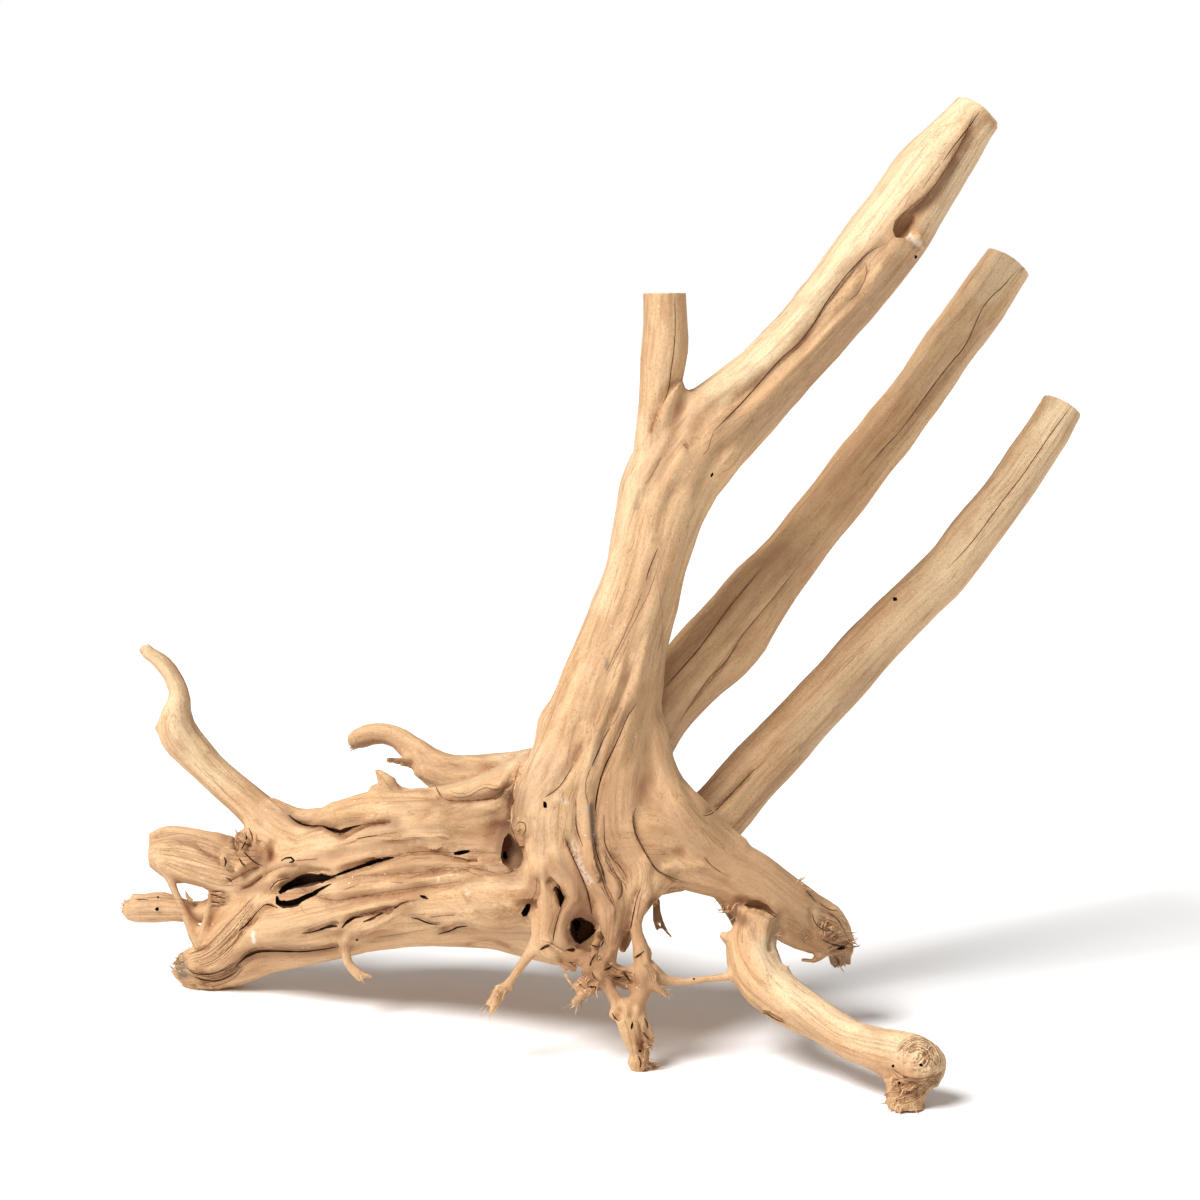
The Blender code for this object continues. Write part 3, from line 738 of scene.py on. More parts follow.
COMBS = (
    # Fibres of the front left foot
    Comb(((183, 955), (205, 945), (228, 922), (256, 893)), ((192, 970), (215, 966), (236, 948),
        (262, 905)), 12, 2.6, 0.9),
    Comb(((186, 968), (205, 973), (225, 969), (240, 960)), ((196, 983), (214, 986), (232, 979),
        (246, 966)), 8, 2.4, 1.2),
    Comb(((262, 880), (290, 884), (320, 884)), ((285, 940), (330, 922), (400, 905)), 6, 4.0, 0.2),
    # Paddle and lowest stub
    Comb(((150, 838), (180, 831), (210, 838), (235, 852)), ((160, 862), (190, 876), (220, 886),
        (245, 886)), 9, 3.2, 0.35),
    Comb(((132, 898), (160, 897), (185, 900)), ((134, 918), (160, 917), (190, 918)), 6, 3.0, 0.28),
    # Broken cluster
    Comb(((228, 834), (240, 832), (250, 840)), ((226, 862), (242, 866), (262, 862)), 5, 3.6, 1.0),
    Comb(((209, 890), (216, 889), (226, 891)), ((211, 908), (218, 909), (228, 905)), 6, 2.4, 1.0),
    # Right leg's end
    Comb(((798, 934), (806, 928), (814, 934)), ((803, 944), (808, 939), (812, 944)), 4, 2.6, 0.7),
    Comb(((822, 940), (838, 930), (855, 928)), ((828, 954), (842, 950), (857, 948)), 8, 2.8, 0.9),
    Comb(((820, 905), (840, 915), (854, 928)), ((815, 925), (830, 932), (842, 940)), 5, 3.0, 0.5),
    # Long foot
    Comb(((892, 1056), (900, 1042), (916, 1034), (934, 1040), (944, 1056), (944, 1072)), ((908, 1060),
        (911, 1053), (918, 1050), (925, 1054), (926, 1062), (920, 1068)), 7, 2.2, 0.8),
    Comb(((890, 1064), (900, 1072), (918, 1078), (938, 1074), (946, 1066)), ((892, 1098), (903, 1104),
        (918, 1098), (930, 1086), (942, 1080)), 10, 2.4, 1.1),
    Comb(((800, 995), (840, 1028), (890, 1040), (930, 1045)), ((778, 1008), (825, 1045), (870, 1062),
        (895, 1066)), 7, 4.0, 0.2),
    Comb(((889, 1082), (905, 1078), (925, 1083)), ((892, 1104), (905, 1101), (920, 1098)), 8, 2.6, 1.3),
    # Trunk foot
    Comb(((600, 846), (608, 866), (618, 884)), ((612, 852), (622, 868), (629, 882)), 4, 3.0, 0.8),
    Comb(((603, 905), (606, 925), (604, 950)), ((628, 905), (622, 925), (615, 950)), 4, 3.0, 0.3),
    Comb(((606, 960), (618, 968), (634, 972)), ((604, 976), (618, 984), (634, 988)), 6, 2.4, 0.8),
    Comb(((622, 1016), (628, 1035), (634, 1060)), ((640, 1016), (645, 1035), (646, 1062)), 4, 2.4, 0.4),
    Comb(((556, 955), (575, 965), (590, 975)), ((560, 968), (580, 985), (590, 995)), 6, 2.6, 0.9),
    Comb(((640, 962), (648, 972), (652, 985)), ((655, 968), (662, 976), (662, 984)), 4, 2.4, 0.8),
    # First branch
    Comb(((915, 230), (940, 195), (975, 135)), ((928, 236), (955, 195), (985, 140)), 3, 3.0, 0.25),
)

BURLS = (
    Burl((916, 1056), 30, 4.6, 0.8),
    Burl((521, 829), 9, 2.8, 0.8),
    Burl((806, 934), 12, 4.0, 0.4),
    Burl((830, 930), 18, 3.4, 1.1),
    Burl((289, 860), 10, 3.6, 0.35),
)

HOLLOWS = (
    # Bowls, sunk before the skin is carved
    Hollow(((281, 890), (288, 884), (296, 879), (304, 875), (312, 873), (321, 873), (330, 876),
        (337, 877), (334, 881), (325, 887), (312, 895), (301, 903), (290, 908), (280, 907), (276, 900)),
        6, 0.85),
    Hollow(((571, 922), (576, 918), (582, 917), (588, 921), (592, 920), (595, 926), (593, 933),
        (588, 938), (582, 943), (575, 941), (571, 934)), 9, 0.8),
    Hollow(((552, 884), (558, 886), (563, 893), (565, 899), (563, 905), (560, 908), (556, 896)), 7, 0.7),
)

HOLES = (
    # Sharp holes, cut last; a last number after the narrowing is the painted shade of their walls
    Hollow(((500, 842), (502, 834), (508, 829), (512, 833), (516, 841), (521, 849), (523, 857),
        (520, 865), (515, 870), (508, 871), (503, 867), (499, 858)), 9, 0.62, 0.6),
    Hollow(((503, 851), (506, 850), (507, 854), (509, 858), (506, 861), (502, 858)), 15, 0.6, 1.0),
    Hollow(((570, 925), (572, 919), (577, 916), (582, 918), (586, 921), (591, 919), (595, 923),
        (596, 930), (592, 936), (586, 940), (580, 944), (575, 941), (571, 934)), 7, 0.75, 0.6),
    Hollow(((571, 922), (575, 918), (581, 919), (583, 926), (579, 933), (574, 934)), 12, 0.6, 1.0),
    Hollow(((556, 886), (561, 891), (565, 898), (563, 903), (560, 908), (559, 900)), 6, 0.6, 0.75),
    Hollow(((527, 903), (531, 904), (530, 910), (527, 916), (523, 917), (521, 913), (524, 908)), 10, 0.6),
    Hollow(((893, 230), (895, 221), (901, 214), (909, 208), (917, 206), (920, 213), (918, 223),
        (912, 228), (908, 235), (903, 238), (896, 237)), 4.5, 0.45, 0.12),
    Hollow(((740, 904), (748, 900), (758, 900), (768, 905), (777, 915), (767, 912), (757, 908),
        (748, 909)), 4, 0.6, 0.35),
)

PITS = (
    Pit((545, 805), (2.2, 3.8), 10, 5),
    Pit((712, 475), (1.2, 2.6), -25, 3),
    Pit((893, 1066), (1.8, 1.6), 0, 4),
    Pit((921, 1065), (2.0, 1.6), 0, 4),
    Pit((899, 1083), (1.8, 1.6), 0, 4),
    Pit((895, 599), (2.6, 2.2), 0, 3),
    Pit((632, 1026), (1.3, 3.6), -5, 4),
    Pit((640, 1051), (1.4, 1.4), 0, 3),
    Pit((843, 948), (5.6, 1.8), 12, 6),
    Pit((835, 968), (2.6, 2.6), 0, 4),
    Pit((157, 909), (2.4, 2.0), 0, 2),
    Pit((158, 897), (1.2, 1.2), 0, 2),
    Pit((357, 940), (1.4, 1.2), 0, 2),
    Pit((916, 257), (1.6, 2.0), 0, 3),
    Pit((694, 979), (1.4, 1.0), 0, 2),
)

CRACKS = (
    # Trunk: across, down and width in pixels, then the depth in millimetres and the painted shade of the
    # walls
    Crack(((675, 295, 0.7), (675, 337, 0.9), (671, 372, 0.9), (668, 392, 0.9), (662, 404, 0.6)), 1.8, 0.13),
    Crack(((658, 548, 0.6), (653, 560, 1.0), (649, 570, 1.1), (646, 581, 0.6)), 1.5, 0.13),
    Crack(((636, 704, 0.6), (627, 718, 0.9), (619, 737, 1.1), (612, 752, 1.6), (607, 762, 2.0),
        (602, 775, 1.6), (598, 790, 1.8), (596, 803, 2.2), (595, 812, 1.1)), 3.0, 0.15),
    Crack(((610, 728, 0.9), (604, 738, 1.1), (599, 750, 1.6), (595, 759, 1.8), (592, 766, 1.1)), 2.1, 0.14),
    Crack(((594, 838, 0.9), (596, 850, 1.1), (599, 860, 1.6), (602, 868, 2.2), (604, 876, 2.8),
        (606, 884, 1.1)), 2.4, 0.17),
    Crack(((576, 800, 0.6), (576, 815, 0.9), (577, 829, 1.0), (583, 847, 0.7)), 1.8, 0.14),
    Crack(((565, 836, 0.6), (568, 846, 1.0), (574, 860, 1.1), (581, 875, 1.5), (587, 890, 1.7),
        (590, 903, 2.2), (592, 914, 1.6)), 2.7, 0.15),
    Crack(((604, 815, 0.6), (605, 842, 0.9), (611, 856, 1.1), (620, 867, 1.1), (628, 878, 0.8)), 1.8, 0.14),
    Crack(((636, 808, 0.5), (633, 820, 0.7), (636, 834, 0.9), (643, 848, 0.9), (650, 860, 1.0),
        (657, 870, 1.3), (670, 877, 0.7), (684, 882, 0.5)), 2.7, 0.15),
    Crack(((641, 888, 0.7), (637, 898, 0.9), (633, 915, 1.4), (631, 926, 2.0), (627, 936, 1.4)), 2.4, 0.17),
    Crack(((545, 797, 0.6), (552, 793, 0.9), (560, 786, 0.9), (567, 776, 0.9), (574, 764, 0.6)), 1.5, 0.13),
    Crack(((553, 941, 1.6), (555, 930, 1.1), (558, 918, 0.9), (562, 906, 0.9)), 2.1, 0.17),
    Crack(((704, 857, 0.6), (712, 866, 0.9), (722, 873, 0.6)), 1.2, 0.11),
    # Folded wood at the trunk's foot
    Crack(((602, 878, 1.8), (606, 888, 4.6), (611, 898, 5.7), (615, 908, 2.2)), 2.2, 0.2),
    Crack(((614, 872, 0.9), (621, 882, 1.9), (622, 893, 1.5), (618, 900, 0.9)), 1.6, 0.23),
    Crack(((600, 931, 1.8), (604, 939, 3.4), (601, 947, 1.4)), 2.2, 0.23),
    Crack(((589, 944, 1.1), (597, 947, 3.0), (604, 944, 1.6)), 1.6, 0.23),
    Crack(((540, 950, 1.8), (545, 947, 4.9), (551, 945, 2.2)), 2.7, 0.25),
    Crack(((566, 950, 1.8), (573, 950, 6.4), (578, 949, 2.2)), 3.2, 0.25),
    Crack(((569, 962, 1.1), (575, 964, 4.0), (581, 966, 1.8)), 2.2, 0.22),
    Crack(((590, 966, 4.0), (592, 960, 3.4), (596, 954, 1.4)), 2.2, 0.22),
    Crack(((604, 970, 2.9), (608, 969, 3.7), (612, 966, 1.4)), 2.2, 0.25),
    Crack(((592, 972, 1.4), (594, 977, 2.5), (598, 981, 1.1)), 1.6, 0.22),
    Crack(((588, 986, 2.2), (595, 988, 4.6), (602, 990, 1.8)), 2.2, 0.25),
    Crack(((614, 977, 1.8), (618, 978, 3.4), (622, 977, 1.4)), 2.2, 0.25),
    Crack(((623, 971, 2.5), (627, 977, 3.2), (632, 984, 1.9)), 2.2, 0.25),
    Crack(((633, 959, 1.9), (638, 956, 3.7), (644, 951, 1.4)), 2.2, 0.25),
    Crack(((643, 1032, 1.8), (646, 1036, 3.9), (650, 1040, 1.8)), 1.6, 0.18),
    Crack(((644, 1018, 1.4), (647, 1023, 2.7), (648, 1029, 1.1)), 1.6, 0.18),
    Crack(((612, 1013, 1.1), (615, 1018, 2.7), (619, 1021, 1.1)), 1.6, 0.18),
    Crack(((638, 1056, 1.4), (641, 1062, 3.2), (640, 1068, 1.4)), 1.6, 0.18),
    # First branch
    Crack(((886, 243, 0.4), (870, 252, 0.9), (858, 263, 0.9), (845, 277, 1.0), (828, 300, 1.4),
        (815, 322, 1.2), (800, 342, 0.9), (783, 357, 0.9), (770, 371, 1.2), (757, 386, 1.2),
        (740, 405, 1.4), (726, 419, 1.2), (714, 431, 0.7)), 2.2, 0.17),
    Crack(((980, 111, 0.7), (968, 128, 1.3), (954, 146, 1.2), (942, 163, 0.4)), 2.0, 0.17),
    # Second branch
    Crack(((1019, 268, 0.6), (1004, 285, 0.9), (984, 306, 1.0), (966, 344, 1.1), (950, 364, 1.2),
        (933, 386, 1.2), (920, 404, 1.1), (900, 431, 1.0), (880, 452, 0.8), (860, 476, 0.6)), 2.0, 0.12),
    Crack(((801, 563, 0.6), (770, 602, 0.8), (742, 636, 0.8), (725, 663, 0.8), (711, 676, 0.8),
        (693, 701, 0.8), (681, 720, 0.6)), 1.2, 0.1),
    Crack(((761, 569, 0.6), (728, 609, 1.0), (701, 646, 1.4), (682, 668, 1.4), (661, 691, 0.9)), 1.8, 0.13),
    # Third branch
    Crack(((1073, 404, 0.6), (1048, 438, 0.8), (1025, 472, 0.8), (1005, 498, 0.8), (972, 542, 0.7),
        (946, 570, 0.4)), 1.5, 0.15),
    Crack(((755, 769, 0.7), (735, 790, 1.1), (720, 806, 1.4), (711, 814, 1.5), (703, 816, 0.8)), 2.1, 0.22),
    # Hump over the left roots
    Crack(((289, 815, 1.1), (296, 821, 1.8), (303, 824.5, 2.0), (312, 826, 1.4), (322, 826, 1.4),
        (329, 829, 3.1), (335, 831, 5.4), (340, 832, 6.3), (346, 830, 5.4), (352, 827.5, 3.1),
        (361, 825, 1.3)), 5.0, 0.72),
    Crack(((356, 839, 0.7), (366, 837, 1.4), (378, 835.5, 0.7)), 2.5, 0.63),
    # Opening with a splinter in it
    Crack(((279, 893, 4.0), (287, 887, 9.0), (296, 883, 11.0), (306, 880, 13.5), (316, 879, 12.5),
        (325, 878, 8.0), (334, 877, 2.5)), 14, 0.92),
    Crack(((277, 896, 3.0), (278, 902, 6.0), (284, 904, 9.0), (293, 903, 9.0), (303, 899, 8.0),
        (313, 894, 6.0), (323, 888, 4.0), (331, 884, 1.5)), 12, 0.92),
    Crack(((333, 876.5, 2.5), (345, 872, 3.2), (355, 868.5, 3.6), (365, 865, 4.2), (375, 861.5, 4.6),
        (385, 858.8, 3.6), (394, 857.3, 1.5)), 9, 0.92),
    Crack(((290, 878, 0.8), (280, 880, 1.2), (274, 884, 1.4), (270, 890, 1.0)), 2.5, 0.74),
    Crack(((281, 861, 1.2), (286, 858, 1.8), (291, 857.5, 2.4), (294, 861, 3.4), (289, 862.5, 1.6)),
        3.5, 0.87),
    Crack(((454, 853.5, 4.5), (459, 853, 6.0), (464, 852, 5.0), (470, 851, 2.2)), 7, 0.92),
    Crack(((420, 895.5, 2.4), (424, 897, 3.8), (428, 899, 2.0)), 6, 0.92),
    # Round the hook
    Crack(((342, 928, 1.5), (345, 924, 3.0), (350, 920, 3.7), (355, 917.5, 2.2), (363, 916.5, 0.9)),
        4.5, 0.59),
    Crack(((363, 922, 1.5), (371, 919, 3.4), (378, 915.5, 5.6), (386, 912.5, 6.0), (393, 909.5, 3.7),
        (400, 904.5, 2.0), (409, 901, 1.1)), 3.4, 0.41),
    Crack(((302, 933.5, 0.8), (311, 932, 1.2), (319, 930, 2.0), (326, 927.5, 3.3), (332, 926, 4.1),
        (337.5, 926.5, 2.6)), 4.1, 0.57),
    Crack(((411, 917.5, 0.8), (418, 919, 2.0), (425, 922, 2.0), (432, 924, 1.4), (438, 924.5, 0.6)),
        2.6, 0.59),
    Crack(((438, 934, 0.8), (446, 932, 1.5), (452, 930, 2.2), (457, 927.5, 2.7), (462, 926.5, 2.0),
        (468, 926.5, 0.8)), 3.0, 0.59),
    # Long fold under the left roots
    Crack(((235, 967, 0.9), (241, 961, 2.2), (248, 955.5, 3.7), (256, 952, 3.8), (265, 951, 3.3),
        (276, 951, 2.8), (290, 951.5, 2.2), (305, 951.5, 1.5), (322, 949.5, 1.1), (342, 946, 0.6)),
        4.5, 0.54),
    Crack(((239, 930.5, 1.8), (244, 926.5, 2.8), (248, 923, 1.8), (254, 916, 1.3), (260, 909, 0.9),
        (265, 905, 1.1), (271, 905.5, 2.2), (278, 908, 1.3)), 3.0, 0.54),
    # Broken cluster, torn stub and the end of the front foot
    Crack(((231, 836, 0.8), (235, 840, 2.1), (234, 846, 0.8)), 2.4, 0.29),
    Crack(((244, 832, 0.8), (247, 838, 2.3), (244, 845, 2.1), (241, 850, 0.8)), 2.4, 0.27),
    Crack(((249, 829, 0.8), (252, 835, 1.9), (252, 841, 0.8)), 2.4, 0.29),
    Crack(((244, 852, 1.1), (250, 858, 2.1), (256, 863, 1.3), (263, 866, 0.6)), 3.0, 0.32),
    Crack(((239, 858, 1.1), (242, 863, 3.1), (246, 867, 1.3)), 3.0, 0.32),
    Crack(((224, 857, 1.1), (226, 862, 2.8), (224, 868, 1.0)), 2.4, 0.26),
    Crack(((210, 894, 0.7), (217, 896, 1.5), (226, 899, 0.7)), 2.4, 0.29),
    Crack(((211, 901, 1.0), (218, 903, 2.3), (226, 902, 1.0)), 2.4, 0.29),
    Crack(((226, 877, 0.7), (230, 880, 1.5), (233, 884, 0.7)), 1.8, 0.26),
    Crack(((187, 968, 0.8), (194, 973, 1.5), (204, 974.5, 1.3), (214, 973.5, 1.5), (223, 969.5, 1.1),
        (235, 962, 0.5)), 2.1, 0.15),
    Crack(((191, 976, 0.7), (204, 980, 1.5), (215, 981, 1.9), (226, 978, 1.3), (238, 971, 0.5)), 2.4, 0.27),
    Crack(((136, 900, 0.7), (142, 899.5, 1.5), (149, 900, 0.7)), 1.2, 0.26),
    Crack(((436, 787, 1.0), (439, 793, 2.1), (442, 798, 0.8)), 2.1, 0.32),
    # Right leg and long foot
    Crack(((812, 914, 0.7), (816, 924, 1.4), (824, 930, 1.4), (834, 931, 0.7)), 1.4, 0.18),
    Crack(((826, 912, 0.7), (836, 918, 1.4), (843, 928, 1.4), (846, 936, 0.7)), 1.4, 0.18),
    Crack(((822, 940, 0.9), (832, 944, 2.3), (842, 946, 2.9), (851, 942, 1.3)), 2.1, 0.27),
    Crack(((832, 955, 0.9), (838, 960, 2.5), (840, 968, 1.4)), 2.1, 0.27),
    Crack(((852, 930, 0.9), (854, 938, 2.2), (850, 948, 1.1)), 2.1, 0.27),
    Crack(((744, 905, 1.0), (756, 908, 2.0), (766, 911, 2.0), (776, 917, 1.0)), 3.5, 0.14),
    Crack(((804, 888, 0.6), (811, 896, 1.3), (817, 903, 0.6)), 2.1, 0.11),
    Crack(((820, 903, 0.6), (828, 909, 1.3), (838, 911, 0.6)), 2.1, 0.11),
    Crack(((516, 826, 0.6), (519, 822, 1.0), (524, 823, 0.8), (526, 829, 0.8), (523, 835, 0.6)), 1.0, 0.16),
    Crack(((517, 833, 0.6), (520, 829, 0.8), (522, 831, 0.6)), 1.0, 0.16),
    Crack(((760, 1012, 0.6), (767, 1014, 1.6), (775, 1019, 1.6), (785, 1023, 0.6)), 2.1, 0.11),
    Crack(((928, 1056, 0.5), (932, 1060, 0.8), (937, 1066, 0.5)), 1.4, 0.09),
)

KNOBS = (
    Knob((521, 829), 13, 2.2),
    Knob((531, 815), 9, 1.2),
    Knob((548, 803), 10, 0.9),
    Knob((354, 904), 9, 1.6),
    Knob((283, 850), 14, 1.8),
    Knob((289, 861), 9, 1.0),
    Knob((914, 238), 9, 4.4),
    Knob((920, 246), 6, 1.8),
    Knob((898, 246), 14, 1.2),
    Knob((704, 404), 14, 1.4),
    Knob((252, 926), 7, 0.8),
    Knob((238, 929), 7, 1.8),
    Knob((157, 909), 7, 1.0),
    Knob((560, 822), 26, 1.0),
    Knob((492, 902), 42, 4.6),
    Knob((395, 772), 24, 2.4),
    Knob((440, 822), 20, 2.2),
    Knob((365, 850), 14, 1.6),
    Knob((420, 880), 14, 1.6),
    Knob((330, 800), 18, 1.6),
    Knob((470, 762), 18, 1.6),
    Knob((548, 720), 20, 1.4),
    Knob((627, 1010), 8, 1.2),
    Knob((637, 1010), 8, 1.2),
    Knob((613, 1014), 7, 1.0),
    Knob((725, 458), 16, 1.0),
    Knob((395, 812), 26, 1.2),
)

TORN = (
    Torn((186, 966, 142), 13, 1.8),
    Torn((208, 980, 138), 15, 1.4),
    Torn((218, 898, 134), 9, 1.2),
    Torn((242, 850, 128), 14, 1.8),
    Torn((843, 942, 64), 13, 1.5),
    Torn((840, 962, 66), 9, 1.4),
    Torn((815, 956, 54), 7, 0.8),
    Torn((920, 1072, -57), 16, 0.8),
    Torn((902, 1092, -58), 14, 2.4),
    Torn((912, 1101, -58), 10, 2.0),
    Torn((638, 1064, 0), 8, 1.4),
    Torn((648, 1038, 0), 6, 1.4),
    Torn((600, 972, 6), 14, 1.9),
    Torn((622, 978, 6), 9, 1.9),
    Torn((580, 995, 6), 8, 1.0),
    Torn((500, 992, 10), 8, 0.9),
    Torn((730, 910, 50), 7, 1.2),
    Torn((641, 956, 8), 7, 1.0),
    Torn((575, 955, 12), 10, 1.0),
    Torn((600, 950, 8), 12, 1.8),
    Torn((583, 968, 8), 9, 1.8),
    Torn((648, 960, 6), 8, 1.6),
    Torn((622, 986, 6), 9, 1.6),
    Torn((647, 1044, 0), 10, 2.2),
    Torn((350, 745, 187), 6, 0.8),
    Torn((424, 709, 187), 9, 1.2),
    Torn((148, 845, 158), 9, 1.4),
    Torn((503, 836, 178), 14, 1.4),
    Torn((123, 904, 158), 6, 0.7),
)

SPRAYS = (
    Spray((640, 1060, 0), (648, 1074, 2), 60, 4.0, 7, 0.5, 0.45),
    Spray((649, 1038, -2), (655, 1048, 0), 26, 3.6, 2.4, 0.55, 0.7),
    Spray((630, 975, 4), (640, 985, 2), 12, 4.0, 3, 0.6, 0.8),
    Spray((596, 980, 4), (590, 992, 3), 16, 4.0, 4, 0.6, 0.6),
    Spray((645, 1064, -1), (658, 1070, 0), 16, 2.6, 8, 0.45, 0.3),
    Spray((650, 1036, -2), (655, 1042, 0), 10, 2.6, 3, 0.5, 0.5),
    Spray((186, 962, 142), (179, 966, 146), 60, 6.0, 2.4, 0.8, 0.6),
    Spray((208, 978, 138), (198, 984, 141), 40, 6.0, 2.6, 0.7, 0.4),
    Spray((230, 896, 132), (214, 899, 136), 30, 4.0, 4, 0.7, 0.25),
    Spray((838, 942, 62), (856, 940, 66), 44, 5.0, 4, 0.6, 0.4),
    Spray((840, 956, 64), (842, 968, 66), 14, 4.0, 2.6, 0.7, 0.4),
    Spray((902, 1094, -58), (896, 1104, -60), 70, 9.0, 3, 0.6, 0.7),
    Spray((503, 990, 10), (492, 1004, 9), 14, 2.2, 6, 0.6, 0.25),
    Spray((587, 990, 5), (575, 1002, 5), 14, 2.4, 5, 0.7, 0.3),
    Spray((585, 982, 8), (574, 990, 7), 8, 2.0, 4, 0.7, 0.3),
    Spray((656, 988, 3), (668, 995, 2), 10, 2.0, 4, 0.7, 0.35),
    Spray((244, 846, 124), (240, 834, 124), 22, 6.0, 4, 0.9, 0.6),
    Spray((732, 907, 44), (722, 911, 42), 20, 4.0, 4, 0.8, 0.4),
    Spray((356, 972, 85), (362, 980, 85), 8, 1.4, 4, 0.5, 0.3),
    Spray((356, 742, 186), (349, 747, 188), 12, 2.6, 2.4, 0.5, 0.4),
    Spray((145, 652, 152), (142, 649, 152), 6, 1.4, 2, 0.5, 0.5),
    Spray((795, 883, 52), (806, 882, 50), 9, 4.0, 4, 0.5, 0.5),
    Spray((770, 935, 32), (780, 936, 32), 3, 1.0, 4, 0.5, 0.4),
    Spray((508, 833, 170), (500, 838, 184), 50, 7.0, 4, 0.8, 0.3),
    Spray((126, 905, 157), (121, 904, 158), 12, 3.4, 2, 0.6, 0.5),
    Spray((596, 962, 4), (598, 953, 3), 6, 1.6, 4, 0.6, 0.25),
)

